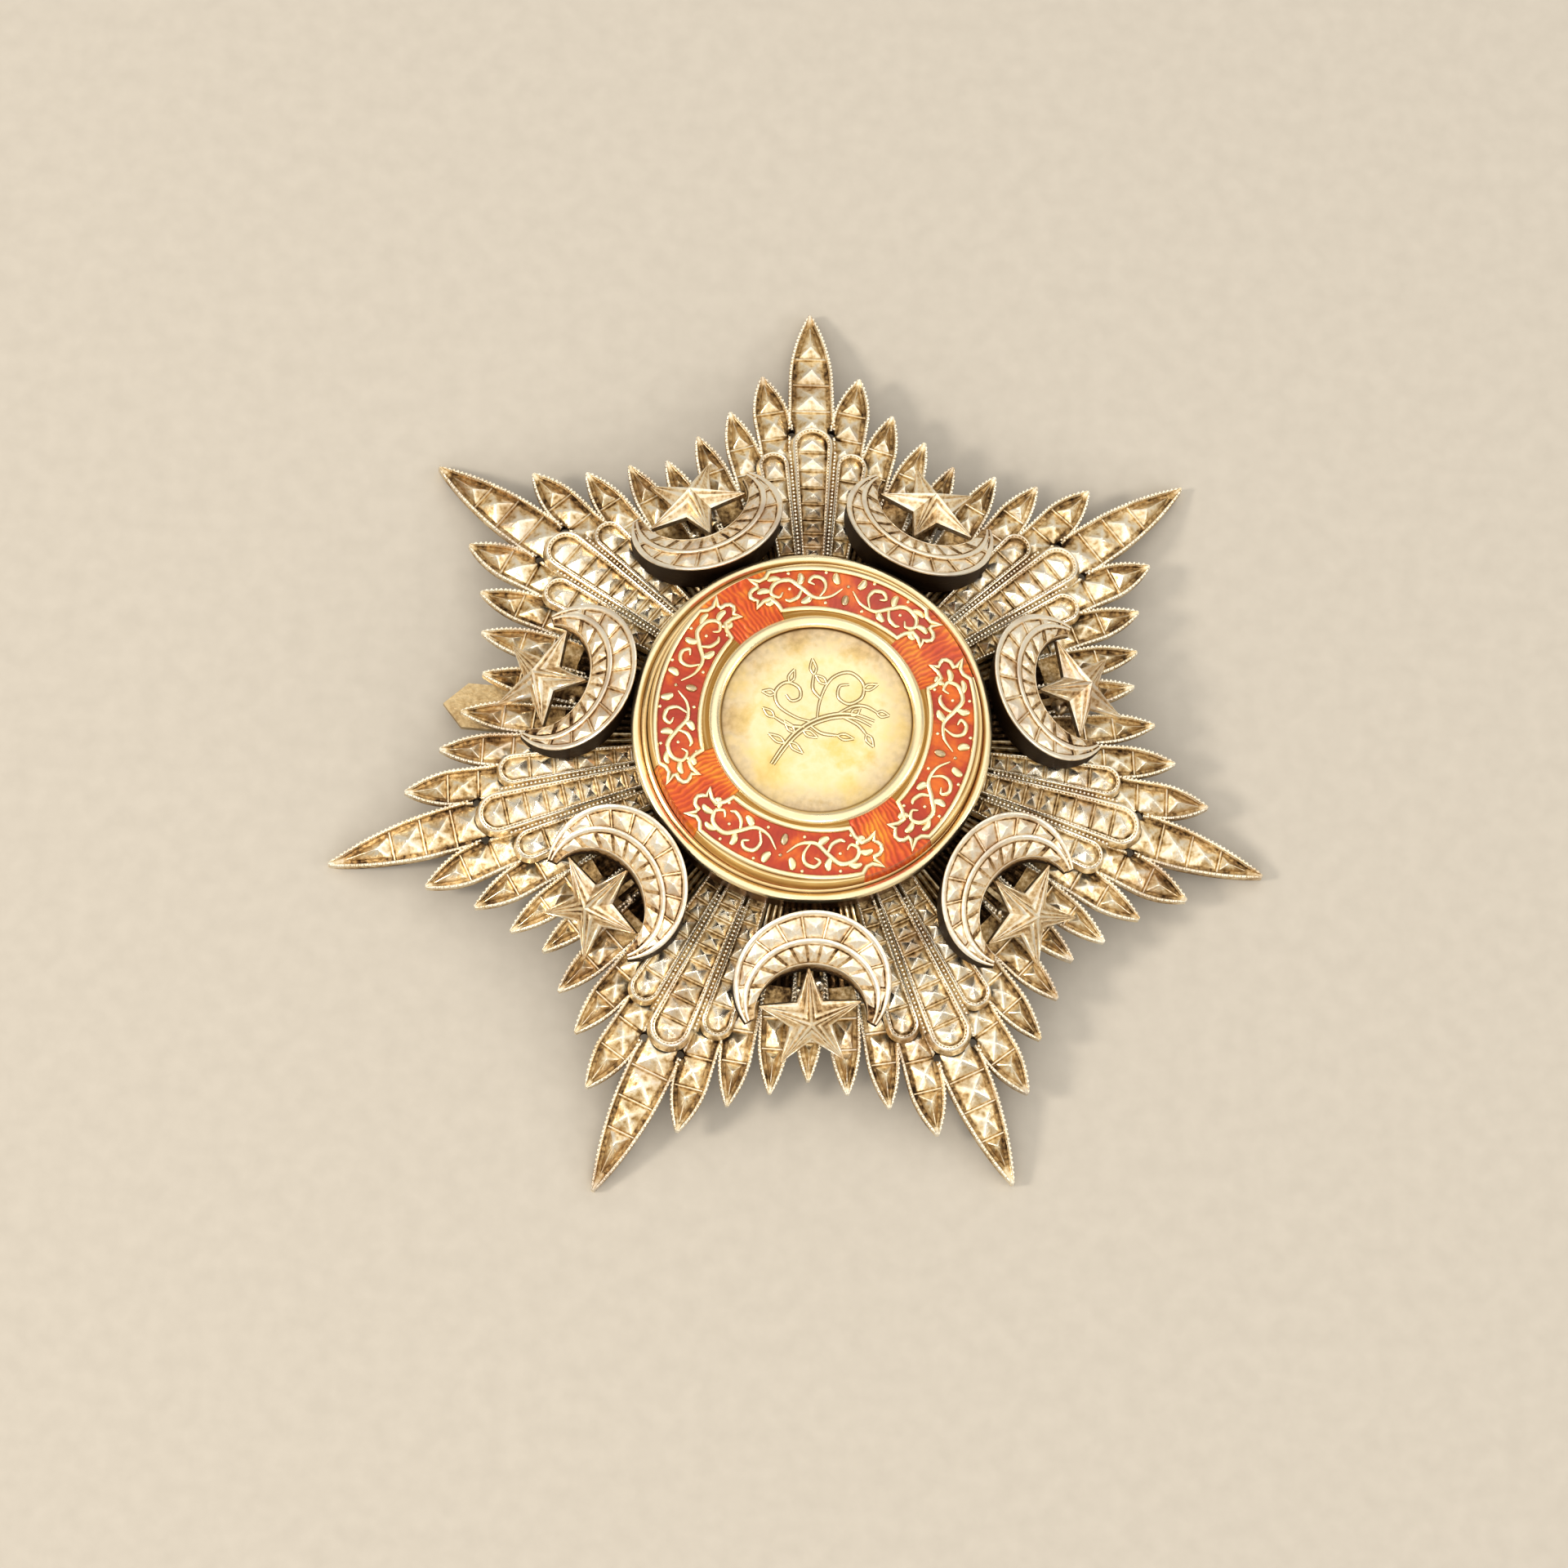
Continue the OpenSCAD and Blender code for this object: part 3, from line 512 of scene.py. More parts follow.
# Half width that a blunt tip starts from, and the share of a millimetre that a ray widens by for
# each millimetre inward until the end
TIP_W, WIDENING, WIDENING_END = 0.15, 0.03, 12
RIDGE_H, RIDGE_FLANKS = 0.17, (-0.16, -0.05, 0.05, 0.16)


def along_ray(row, d, s):
    """The place d inward from a ray's tip and s across it."""
    tip, lean = math.radians(row.tip_angle), math.radians(row.lean)
    x = row.tip_r * math.sin(tip) - d * math.sin(lean) + s * math.cos(lean)
    y = row.tip_r * math.cos(tip) - d * math.cos(lean) - s * math.sin(lean)
    return x, y


def on_dome(x, y, lift):
    return (x, y, max(dome(x, y), 0.0) + lift)


def ray_half_width(row, d, taper):
    """A curve from the tip to the end of the taper, then a slow widening towards the root."""
    bulge = 1 - (1 - min(d / taper, 1)) ** 2
    widened = WIDENING * max(0.0, min(d, WIDENING_END) - 0.6 * taper)
    return TIP_W + (row.half_w - 0.07) * bulge + widened


def channel_share(w):
    """How much of the channel's full depth there is where the ray's half width is w."""
    return min(1.0, max(0.0, (w - 0.22) / 0.45))


def mirrored(row):
    return row._replace(tip_angle=-row.tip_angle, lean=-row.lean)


print("rays in a spray:", 1 + 2 * len(SIDE_RAYS))

# %% The channel of a ray
def ray_strip(row, taper, ridges, reach):
    """A ray's channel with its borders and ridges, as a closed strip from tip to root."""
    stations = {round(taper * k / 12, 3) for k in range(13)}
    stations |= {round(d, 3) for d in np.arange(taper, reach, 1.6)}
    stations |= {round(r + d, 3) for r in ridges for d in RIDGE_FLANKS} | {reach}
    floor, top, foot = RAY_FLOOR - row.thinner, RAY_TOP - row.thinner, RAY_FOOT + row.thinner
    rows, recess, along = [], [], []
    for d in sorted(stations):
        w = ray_half_width(row, d, taper)
        squeeze, clear = min(1.0, w / 0.62), min(1.0, max(0.0, (w - 0.3) / 0.4))
        low = top - (top - floor) * channel_share(w)
        raised = RIDGE_H if any(abs(d - r) < 0.06 for r in ridges) else 0.0
        side = []
        for e, share, deep in BORDER:
            lift = foot if share < 0 else low + (top - low) * share
            if share == 0.0:
                lift, deep = lift + raised, deep - 5 * raised
            side.append((w - e * squeeze, lift, deep * clear if deep > 0 else deep))
        # Ridges across the channel get a lower recess, a painted highlight
        middle = (0.0, low + raised, (0.7 - 4 * raised) * clear)
        line = side + [middle] + [(-s, lift, deep) for s, lift, deep in reversed(side)]
        n = len(line)
        rows.append([on_dome(*along_ray(row, d, s), lift) for s, lift, deep in line])
        recess.append([deep for s, lift, deep in line])
        along.append([d if 1 <= j <= 5 or n - 6 <= j <= n - 2 else -1.0 for j in range(n)])
    strip = Metalwork()
    strip.grid(rows, recess, around=True, caps=True, along=along, flip=True)
    return strip


# %% [markdown]
# Pinholes
#
# Each spray has small holes on either side of its bars' ends, drilled right through. They are cut as
# real holes, because light and shadow go through them. Only the strips that they meet are cut, since
# a boolean on a whole spray would be slow.

# %% Pinholes
# Across and out along the spray, and the radius of each hole
PINHOLES = [(side * x, y, r) for side in (-1, 1) for x, y, r in ((1.85, 31.95, 0.42), (4.69, 28.62, 0.32))]
# The holes' walls are painted near black as shade
HOLE_WALL_PAINTED_SHADE = 1.4


def pierce(strip):
    """Cut the spray's pinholes straight down through a closed strip of metal."""
    points = np.vstack(strip.points)
    mesh = bpy.data.meshes.new("strip")
    mesh.from_pydata(points.tolist(), [], strip.faces)
    plate = bpy.data.objects.new("strip", mesh)
    bpy.context.scene.collection.objects.link(plate)
    drills = []
    for x, y, radius in PINHOLES:
        bpy.ops.mesh.primitive_cylinder_add(vertices=16, radius=radius, depth=3, location=on_dome(x, y, 0))
        drills.append(bpy.context.object)
        cut = plate.modifiers.new("pinhole", "BOOLEAN")
        cut.operation, cut.solver, cut.object = "DIFFERENCE", "EXACT", drills[-1]
    done = bpy.data.meshes.new_from_object(plate.evaluated_get(bpy.context.evaluated_depsgraph_get()))
    cut_points = np.array([tuple(v.co) for v in done.vertices])
    near = [int(np.argmin(((points - p) ** 2).sum(1))) for p in cut_points]
    from_holes = [np.hypot(cut_points[:, 0] - x, cut_points[:, 1] - y) - r for x, y, r in PINHOLES]
    wall = np.min(from_holes, axis=0) < 0.01
    recess = np.where(wall, HOLE_WALL_PAINTED_SHADE, np.concatenate(strip.recess)[near])
    along = np.concatenate(strip.along)[near]
    for used in drills + [plate]:
        bpy.data.objects.remove(used)
    pierced = Metalwork()
    pierced.add(cut_points, [tuple(f.vertices) for f in done.polygons], recess, along)
    return pierced


print("pinholes in a spray:", len(PINHOLES))

# %% [markdown]
# Studs
#
# The studs are four-sided pyramids that were finished by hand, so no two tops sit quite alike. Each
# apex is moved by a few hundredths of a millimetre, with draws that are seeded for each spray.

# %% Studs and the whole ray
STUD_INSET, STUD_GAP = 0.66, 0.12
MILGRAIN_STEP = 0.42


def ray_studs(work, row, taper, ridges, rng):
    """A long stud in the ray's point, then one between each two ridges."""
    floor = RAY_FLOOR - row.thinner
    low = floor - 0.02
    apex_s = rng.uniform(-0.05, 0.05)

    def corner(d, side):
        w = max(ray_half_width(row, d, taper) - STUD_INSET, 0.05)
        return on_dome(*along_ray(row, d, side * w), low)

    front, back = 0.16 * taper, ridges[0] - STUD_GAP
    outline = [on_dome(*along_ray(row, front, 0), low + 0.3)]
    outline += [corner(front + (back - front) * share, 1) for share in (0.3, 0.65, 1.0)]
    outline += [corner(front + (back - front) * share, -1) for share in (1.0, 0.65, 0.3)]
    apex = on_dome(*along_ray(row, front + (back - front) * 0.7, apex_s), floor + STUD_H + 0.25)
    work.stud(outline[::-1], apex, soften=0.1, facet=0.42)
    for near, far in zip(ridges, ridges[1:]):
        start, end = near + STUD_GAP, far - STUD_GAP
        corners = [corner(start, 1), corner(end, 1), corner(end, -1), corner(start, -1)]
        place = along_ray(row, (near + far) / 2 + rng.uniform(-0.06, 0.06), rng.uniform(-0.05, 0.05))
        apex = on_dome(*place, floor + STUD_H * rng.uniform(1.15, 1.35))
        work.stud(corners, apex, soften=0.1, facet=0.52)


def ray(work, row, rng, taper, first, pitch, root, beaded=12.0, pierced=False):
    """One ray. It narrows over the taper, its first ridge lies that far from the tip and the others
    follow at the pitch, its root is at a radius, and its milgrain runs as far in as beaded."""
    reach = row.tip_r - root
    ridges = [first + k * pitch for k in range(row.studs + 1) if first + k * pitch < reach - 1]
    strip = ray_strip(row, taper, ridges, reach)
    work.join(pierce(strip) if pierced else strip)
    floor, top = RAY_FLOOR - row.thinner, RAY_TOP - row.thinner
    edge = []
    for side in (-1, 1):
        for d in np.arange(0.5, min(reach, beaded), MILGRAIN_STEP):
            w = ray_half_width(row, d, taper)
            lift = top - (top - floor) * (1 - channel_share(w)) if w < 0.3 else top
            edge.append(on_dome(*along_ray(row, d, side * (w - 0.08)), lift - 0.03))
    beads(work, [b for b in edge if all(math.hypot(b[0] - x, b[1] - y) > r + 0.2 for x, y, r in PINHOLES)])
    ray_studs(work, row, taper, ridges, rng)


# %% Build the sprays
# Each spray was set by hand: degrees off its place, and how much longer its main ray is
HAND_SET = [(0.25, -0.35), (0.5, 0.55), (0.5, -0.95), (0.0, -0.75), (-0.25, 0.45), (-0.5, 0.8), (0.6, 0.15)]
FAN_RIBS = (0.0, 0.22, 0.3, 0.22)
FAN_OPEN = 16


def fan(work, inner, outer, half_angle, low, high):
    """The ribbed sheet that joins the rays of a spray, painted darkest as shade where the crescents hide it.
    """
    rows, recess = [], []
    for k, a in enumerate(np.radians(np.linspace(-half_angle, half_angle, 97))):
        rib = FAN_RIBS[k % 4]
        line = [(r * math.sin(a), r * math.cos(a), low) for r in np.linspace(inner, outer, 7)]
        line += [(x, y, high + rib) for x, y, _ in reversed(line)]
        rows.append([on_dome(x, y, lift) for x, y, lift in line])
        # Painted shade: near black where the crescents cover the fan, lighter on the ribs' tops
        top_recess = 1.2 - 3 * rib if abs(math.degrees(a)) < FAN_OPEN else 1.4
        recess.append([1.0] * 7 + [1.4, 1.4] + [top_recess] * 5)
    work.grid(rows, recess, around=True, caps=True, flip=True)


for k, (off, longer) in enumerate(HAND_SET, start=1):
    rng = random.Random(100 + k)
    work = Metalwork()
    fan(work, 9.0, 23.5, SECTOR / 2 - 0.6, 0.1, 0.45)
    main = MAIN_RAY._replace(tip_r=MAIN_RAY.tip_r + longer)
    # The top ray has a blunter tip than the others
    taper = 7.5 if k == 1 else 10.0
    ray(work, main, rng, taper, first=5.4 + longer, pitch=3.0, root=18.0, beaded=15.5, pierced=True)
    for row in SIDE_RAYS:
        for side_row in (row, mirrored(row)):
            ray(work, side_row, rng, taper=4.8, first=4.1, pitch=2.9, root=22.5, pierced=True)
    finish_piece(work, f"spray_{k}", [f"ray_spray_{k}"], ray_silver, SECTOR * (k - 1) + off)
print("one spray has", len(work.faces), "faces")

# %% [markdown]
# Bars
#
# Three bars lie on each spray. A bar's border runs up one side, round its end and back, so its
# section is swept along that outline. It has an outer bead, bright with a painted highlight, and a
# thinner one inside it.

# %% Bars
# Across a bar's border from the outside: distance from the edge, height share, recess
# The recess column paints a highlight on the bead's crest, and painted shade and tarnish in the grooves and
# the channel floor
BAR_BORDER = [(-0.25, -1.0, 0.7), (-0.03, 0.05, 0.5), (0.0, 0.75, 0.1), (0.06, 0.93, -0.15),
              (0.15, 1.0, -0.3), (0.24, 0.93, -0.15), (0.29, 0.72, 0.6), (0.33, 0.6, 0.9), (0.38, 0.68, 0.4),
              (0.44, 0.7, 0.1), (0.49, 0.55, 0.5), (0.53, 0.1, 0.95), (0.56, 0.0, 1.0)]
BAR_RIDGE_H, BAR_RIDGE_FLANKS = 0.16, (-0.14, -0.045, 0.045, 0.14)
GROOVE_IN, GROOVE_STEP = 0.34, 0.34


def bar(work, angle, rng, end_r, w, ratio, studs, root=15.4):
    """One bar: its angle, the radius of its end, half width there, each cell's size against the
    one outside it, studs, and the radius of its root under the medallion."""
    turn = math.radians(angle)
    shoulder = end_r - w
    cells = [(end_r - 0.5) * ratio**k for k in range(studs + 1)]
    ridges = [r for r in cells[1:] if r > root + 0.5]
    radii = {round(r, 3) for r in np.linspace(root, shoulder, 9)}
    radii |= {round(r + d, 3) for r in ridges for d in BAR_RIDGE_FLANKS if r + d < shoulder}
    radii = sorted(radii)
    outline = [("right", r) for r in radii] + [("arc", math.pi * i / 16) for i in range(1, 16)]
    outline += [("left", r) for r in reversed(radii)]
    high = CASE_Z - 0.1
    scale = w / 1.95 if w < 1.7 else 1.0

    def spot(kind, value, e):
        if kind == "arc":
            reach = w - e * scale
            return reach * math.cos(value), shoulder + reach * math.sin(value)
        half = (w - e * scale) * value / shoulder
        return (half if kind == "right" else -half), value

    def lay(s, r, lift):
        x = r * math.sin(turn) + s * math.cos(turn)
        y = r * math.cos(turn) - s * math.sin(turn)
        z = dome(x, y) + lift
        return (x, y, min(z, high) if math.hypot(x, y) < CASE_R + 0.5 else z)

    def half_at(r):
        inside = w - 0.6 * scale
        straight = inside * r / shoulder
        if r <= shoulder:
            return straight
        return min(straight, math.sqrt(max(inside**2 - (r - shoulder) ** 2, 0.01)))

    rows, recess = [], []
    for kind, value in outline:
        on_ridge = kind != "arc" and any(abs(value - r) < 0.06 for r in ridges)
        raised = BAR_RIDGE_H if on_ridge else 0.0
        line, deep_line = [], []
        for e, share, deep in BAR_BORDER:
            s, r = spot(kind, value, e)
            lift = BAR_FOOT if share < 0 else BAR_FLOOR + (BAR_TOP - BAR_FLOOR) * share
            if share == 0.0:
                lift, deep = lift + raised, deep - 2.5 * raised
            line.append(lay(s, r, lift))
            deep_line.append(deep)
        rows.append(line + [lay(0.0, shoulder if kind == "arc" else value, BAR_FLOOR + raised)])
        recess.append(deep_line + [1.0 - 2.5 * raised])
    work.grid(rows, recess, flip=True)
    groove = [(kind, r) for kind in ("right", "left") for r in np.arange(CASE_R, shoulder, GROOVE_STEP)]
    groove += [("arc", a) for a in np.arange(0.1, math.pi, GROOVE_STEP / (w - 0.3))]
    beads(work, [lay(*spot(kind, value, GROOVE_IN), BAR_TOP - 0.25) for kind, value in groove], 0.12)
    for k in range(studs):
        outer, inner = cells[k] - STUD_GAP, cells[k + 1] + STUD_GAP
        if inner < root:
            break
        front = outer - (0.25 if k == 0 else 0.0)
        sides = [(half_at(front), front), (half_at(inner), inner)]
        if k == 0:
            sides = [(0.45 * half_at(front), outer), (half_at(front - 0.45), front - 0.45), sides[1]]
        corners = sides + [(-s, r) for s, r in reversed(sides)]
        apex = lay(rng.uniform(-0.05, 0.05), (outer + inner) / 2, BAR_FLOOR + STUD_H * rng.uniform(1.1, 1.25))
        work.stud([lay(s, r, BAR_FLOOR - 0.02) for s, r in corners], apex, facet=0.28)


# %% Build the bars
MIDDLE_BAR = dict(end_r=32.25, w=1.95, ratio=0.932, studs=9)
SIDE_BAR, SIDE_BAR_ANGLE = dict(end_r=29.7, w=1.45, ratio=0.915, studs=6), 7.63
# The beaded strip between two bars: its offset for each millimetre out, and its section
STRIP_SLOPE, STRIP_SECTION = 0.0736, ((-0.012, 1.5), (0.0, 1.95), (0.012, 1.5))

for k, (off, longer) in enumerate(HAND_SET, start=1):
    rng = random.Random(200 + k)
    work = Metalwork()
    for angle in (SIDE_BAR_ANGLE, -SIDE_BAR_ANGLE):
        bar(work, angle, rng, **SIDE_BAR)
    bar(work, 0.0, rng, **MIDDLE_BAR)
    for side in (-1, 1):
        strip = [[on_dome(side * r * (STRIP_SLOPE + c), r, lift) for c, lift in STRIP_SECTION]
                 for r in np.linspace(17.5, 29.6, 20)]
        work.grid(strip[::side], [[0.8, 0.1, 0.8]] * 20)
        beads(work, [on_dome(side * r * STRIP_SLOPE, r, 1.97) for r in np.arange(17.5, 29.6, 0.4)])
    finish_piece(work, f"bars_{k}", [f"bar_set_{k}"], bar_silver, SECTOR * (k - 1) + off)
print("one set of bars has", len(work.faces), "faces")

# %% [markdown]
# Crescents
#
# A crescent is the space between circles whose centres move outward, so it narrows to its horns. A
# wire with a painted highlight runs round its outer edge and another inside the band of studs, and the
# metal then slopes down to a thin inner edge with a row of smaller studs. Its plane is tilted outward.
# Its walls down to the bars are painted near black as the shade under the crescent.

# %% Crescents
TILT = math.radians(36)
CRESCENT_R = 7.4
CRESCENT_Y = CASE_R + 0.9 + CRESCENT_R * math.cos(TILT)
CRESCENT_Z = RIM_Z + 1.35 - CRESCENT_R * math.sin(TILT)
# Degrees from the crescent's middle to a horn, and cells of studs between the horns
HORN = 124.0
CELLS = 11
WIRE_CIRCLE, WIRE_SHIFT = 6.04, 2.0
EDGE_CIRCLE, EDGE_SHIFT = 5.3, 3.2
BAND = CRESCENT_R - (WIRE_CIRCLE - WIRE_SHIFT)
CELL_RIDGE_H, CELL_RIDGE_FLANKS = 0.28, (-1.5, -0.5, 0.5, 1.5)
BAND_FLOOR = -0.5


def to_circle(circle, shift, t):
    """Distance from the crescent's centre to a circle whose centre lies shift outward."""
    return -shift * math.cos(t) + math.sqrt(circle**2 - (shift * math.sin(t)) ** 2)


def to_wire(t):
    return to_circle(WIRE_CIRCLE, WIRE_SHIFT, t)


def to_edge(t):
    return to_circle(EDGE_CIRCLE, EDGE_SHIFT, t)


def wire_width(t):
    """Width of both wires, which grow thinner where the band narrows."""
    return min(0.55, 0.37 * (CRESCENT_R - to_wire(t)))


def on_crescent(q, t, lift):
    out = -q * math.cos(t)
    return (q * math.sin(t), CRESCENT_Y + out * math.cos(TILT), CRESCENT_Z - out * math.sin(TILT) + lift)


def crescent_line(degrees, raised):
    """Points across the crescent at an angle from its middle, with their recess values."""
    t = math.radians(degrees)
    wire, edge, w = to_wire(t), to_edge(t), wire_width(t)
    part = (CRESCENT_R - wire) / BAND
    line = []

    def bead(centre, half, base, height):
        for a in (0, 40, 75, 105, 140, 180):
            a = math.radians(a)
            # Painted highlight on the wire's top, and painted shade at its sides
            line.append((centre + half * math.cos(a), base + height * math.sin(a), 0.4 - 0.8 * math.sin(a)))

    def foot(q):
        x, y, _ = on_crescent(q, t, 0)
        return (x, y, dome(x, y) + OVER_BARS)

    bead(CRESCENT_R - w / 2, w / 2, -0.3 * part, 0.3 * part)
    floor = BAND_FLOOR * part + raised * part
    line.append((CRESCENT_R - w - 0.04, floor, 1.0 - 2.5 * raised))
    line.append((wire + w + 0.04, floor, 1.0 - 2.5 * raised))
    bead(wire + w / 2, w / 2, -0.3 * part, 0.32 * part)
    line += [(wire - 0.04, -0.4 * part, 1.0), (edge + 0.2 * part, -0.85 * part, 0.8),
             (edge + 0.12 * part, -0.78 * part, -0.3), (edge, -0.85 * part, 0.1)]
    sill = on_crescent(CRESCENT_R - 0.02, t, -0.35 * part)
    points = [foot(CRESCENT_R), sill] + [on_crescent(q, t, lift) for q, lift, deep in line] + [foot(edge)]
    # The walls down to the bars get 1.9, painted near black as the shade under the crescent
    return points, [1.9, 1.9] + [deep for q, lift, deep in line] + [1.9]


# %% Build the crescents
def crescent(rng):
    work = Metalwork()
    end = HORN - 9
    bounds = [end * (2 * k / CELLS - 1) for k in range(CELLS + 1)]
    stations = {round(-HORN + 2 * HORN * i / 80, 3) for i in range(81)}
    stations |= {round(b + d, 3) for b in bounds for d in CELL_RIDGE_FLANKS}
    rows, recess = [], []
    for degrees in sorted(stations):
        raised = CELL_RIDGE_H if any(abs(degrees - b) < 0.6 for b in bounds) else 0.0
        points, deep = crescent_line(degrees, raised)
        rows.append(points)
        recess.append(deep)
    work.grid(rows, recess, around=True, caps=True, flip=True)
    for near, far in zip(bounds, bounds[1:]):
        middle = math.radians((near + far) / 2)
        wire, edge, w = to_wire(middle), to_edge(middle), wire_width(middle)
        part = (CRESCENT_R - wire) / BAND
        floor = BAND_FLOOR * part
        shift = rng.uniform(-0.02, 0.02)
        # A square stud in the band between the two wires
        ends = [math.radians(near + 1.2), math.radians(far - 1.2)]
        outer = CRESCENT_R - w - 0.04
        corners = [on_crescent(outer, t, floor) for t in ends]
        corners += [on_crescent(to_wire(t) + w + 0.04, t, floor) for t in reversed(ends)]
        apex = on_crescent((outer + wire + w) / 2, middle + shift, rng.uniform(-0.02, 0.1) * part)
        work.stud(corners[::-1], apex, 0.75, 0.06, 0.12)
        # A smaller one on the slope inside them
        ends = [math.radians(near + 2), math.radians(far - 2)]
        corners = [on_crescent(to_wire(t) - 0.1, t, -0.42 * part) for t in ends]
        corners += [on_crescent(to_edge(t) + 0.22 * part, t, -0.84 * part) for t in reversed(ends)]
        apex = on_crescent((wire + edge) / 2 + 0.05, middle + shift, -0.05 * part)
        work.stud(corners[::-1], apex, 0.85, 0.04, 0.3)
    return work


# Millimetres that each crescent and its star sit further out
FURTHER = [0, 0, 0, 0.55, 0, 0, 0]
for k, further in enumerate(FURTHER, start=1):
    work = crescent(random.Random(300 + k))
    work.points = [points + [0, further, 0] for points in work.points]
    finish_piece(work, f"crescent_{k}_chased", [f"crescent_{k}"], crescent_silver,
                 SECTOR * (k - 0.5))
print("one crescent has", len(work.faces), "faces")

# %% [markdown]
# Small stars
#
# A small star has a ridge along each arm and a valley between each two. A graver cut two channels
# beside each ridge, which leaves thin raised ribs between them that run out to the point. The whole
# star is tilted a little less than its crescent.

# %% Small stars
STAR_TILT = math.radians(32)
SMALL_R, SMALL_NOTCH, SMALL_PEAK, SMALL_T = 5.15, 2.1, 1.9, 0.45
EDGE_Q = EDGE_CIRCLE - EDGE_SHIFT
TIP_Y = CRESCENT_Y - EDGE_Q * math.cos(TILT) + 0.16
TIP_Z = CRESCENT_Z + EDGE_Q * math.sin(TILT) - 1.2
SMALL_Y = TIP_Y + SMALL_R * math.cos(STAR_TILT)
SMALL_Z = TIP_Z - SMALL_R * math.sin(STAR_TILT)
POST_R = 0.9
# Degrees that each small star has turned in its seat, as the photograph shows
SPIN = [0, 0, 2, 4, 3, 0, -4]
# From a ridge to the valley: share of the way, and height over the flat facet
CHANNELS = [(0.0, 0.02), (0.1, 0.02), (0.17, -0.13), (0.26, -0.13), (0.34, 0.0), (0.46, 0.02), (0.54, -0.1),
            (0.8, -0.08), (0.9, 0.04), (1.0, 0.0)]
# Shares of the way out along an arm
OUTWARD = (0.0, 0.12, 0.3, 0.5, 0.7, 0.85, 0.97)


def on_star(p):
    """From the star's own flat axes, with +y inward, to its tilted place."""
    x, y, z = p
    return (x, SMALL_Y - y * math.cos(STAR_TILT) + z * math.sin(STAR_TILT),
            SMALL_Z + y * math.sin(STAR_TILT) + z * math.cos(STAR_TILT))


def small_star(spin):
    work = Metalwork()

    def spot(r, degrees, z):
        a = math.radians(degrees + spin)
        return np.array([r * math.sin(a), r * math.cos(a), z])

    peak = np.array([0, 0, SMALL_PEAK])
    for k in range(5):
        tip = spot(SMALL_R, 72 * k, 0.12)
        for side in (-1, 1):
            notch = spot(SMALL_NOTCH, 72 * k + 36 * side, 0.0)
            rows = []
            for u in OUTWARD:
                line = []
                for v, cut in CHANNELS:
                    p = (peak + (notch - peak) * v) * (1 - u) + tip * u
                    line.append(on_star(p + np.array([0, 0, cut * min(1.0, 3 * u + 0.25) * (1 - u) ** 0.6])))
                rows.append(line)
            # The recess paints shade in the cut channels and leaves the ribs bright as a painted highlight
            work.grid(rows, [0.12 - 5 * cut for v, cut in CHANNELS], flip=side < 0)
            low = [np.array(on_star(p)) for p in (notch - [0, 0, SMALL_T], tip - [0, 0, SMALL_T])]
            wall = np.array([[line[-1] for line in rows],
                             [low[0] * (1 - u) + low[1] * u for u in OUTWARD[:-1] + (1,)]])
            # The walls, underside and post are painted darker as shade
            work.grid(wall if side < 0 else wall[::-1], 0.6)
            under = [on_star((0, 0, -SMALL_T)), *low]
            work.add(under, [(0, 1, 2) if side > 0 else (0, 2, 1)], 0.9)
    ring = [(POST_R * math.cos(a), SMALL_Y + POST_R * math.sin(a))
            for a in np.linspace(0, 2 * math.pi, 24, endpoint=False)]
    post = [[(x, y, z) for x, y in ring] for z in (dome(0, SMALL_Y) + 0.7, SMALL_Z + 0.3)]
    work.grid(post, 0.9, around=True, caps=True)
    return work


for k, (spin, further) in enumerate(zip(SPIN, FURTHER), start=1):
    work = small_star(spin)
    work.points = [points + [0, further, 0] for points in work.points]
    finish_piece(work, f"small_star_{k}_cut", [f"small_star_{k}"], star_silver, SECTOR * (k - 0.5),
                 crease=20)
print("small stars turned by", SPIN)

# %% [markdown]
# The plate under the sprays
#
# Between two sprays a short ray shows, which belongs to the plate underneath. The plate itself is
# turned round the axis like a dish. In the openings of the crescents the photograph shows drops of
# old solder, so three rounded lumps of it lie there.

# %% Under star
PLATE_INNER, PLATE_OUTER = 12, 23
# Depths of the plate's top and bottom under the rays' underside
PLATE_TOP, PLATE_BOTTOM = 0.1, 1.0
# A drop of solder: share of its radius and height at each ring, and the recess there, which paints shade at
# its foot and a highlight on its top
DROP = ((1.0, 0.0, 0.9), (0.9, 0.7, 0.3), (0.5, 1.2, 0.1), (0.05, 1.4, 0.0))


def revolve(work, profile, recess, steps=192):
    """A closed profile of (radius, height) turned round the star's axis."""
    angles = np.linspace(0, 2 * math.pi, steps, endpoint=False)
    rows = [[(r * math.cos(a), r * math.sin(a), z) for r, z in profile] for a in angles]
    work.grid(rows, recess, around=True, closed=True, flip=True)


def solder_drops(work, k, rng):
    """Three uneven drops of solder in the opening of a crescent."""
    for side, out in ((-1, 23.2), (1, 23.8), (rng.choice((-1, 1)), 26.2)):
        a = math.radians(SECTOR * (k + 0.5) + side * rng.uniform(2.2, 3.6))
        size, out = rng.uniform(0.45, 0.8), out + rng.uniform(-0.4, 0.4)
        rows = [[(out * math.sin(a) + size * f * math.cos(t) * rng.uniform(0.8, 1.2),
                  out * math.cos(a) + size * f * math.sin(t) * rng.uniform(0.8, 1.2),
                  dome(0, out) + 0.5 + size * up) for t in np.linspace(0, 2 * math.pi, 9)[:-1]]
                for f, up, deep in DROP]
        work.grid(rows, [[deep] * 8 for f, up, deep in DROP], around=True)


work = Metalwork()
plate = [(r, dome(r, 0) - PLATE_TOP) for r in np.linspace(PLATE_INNER, PLATE_OUTER, 8)]
plate += [(r, dome(r, 0) - PLATE_BOTTOM) for r in np.linspace(PLATE_OUTER, PLATE_INNER, 8)]
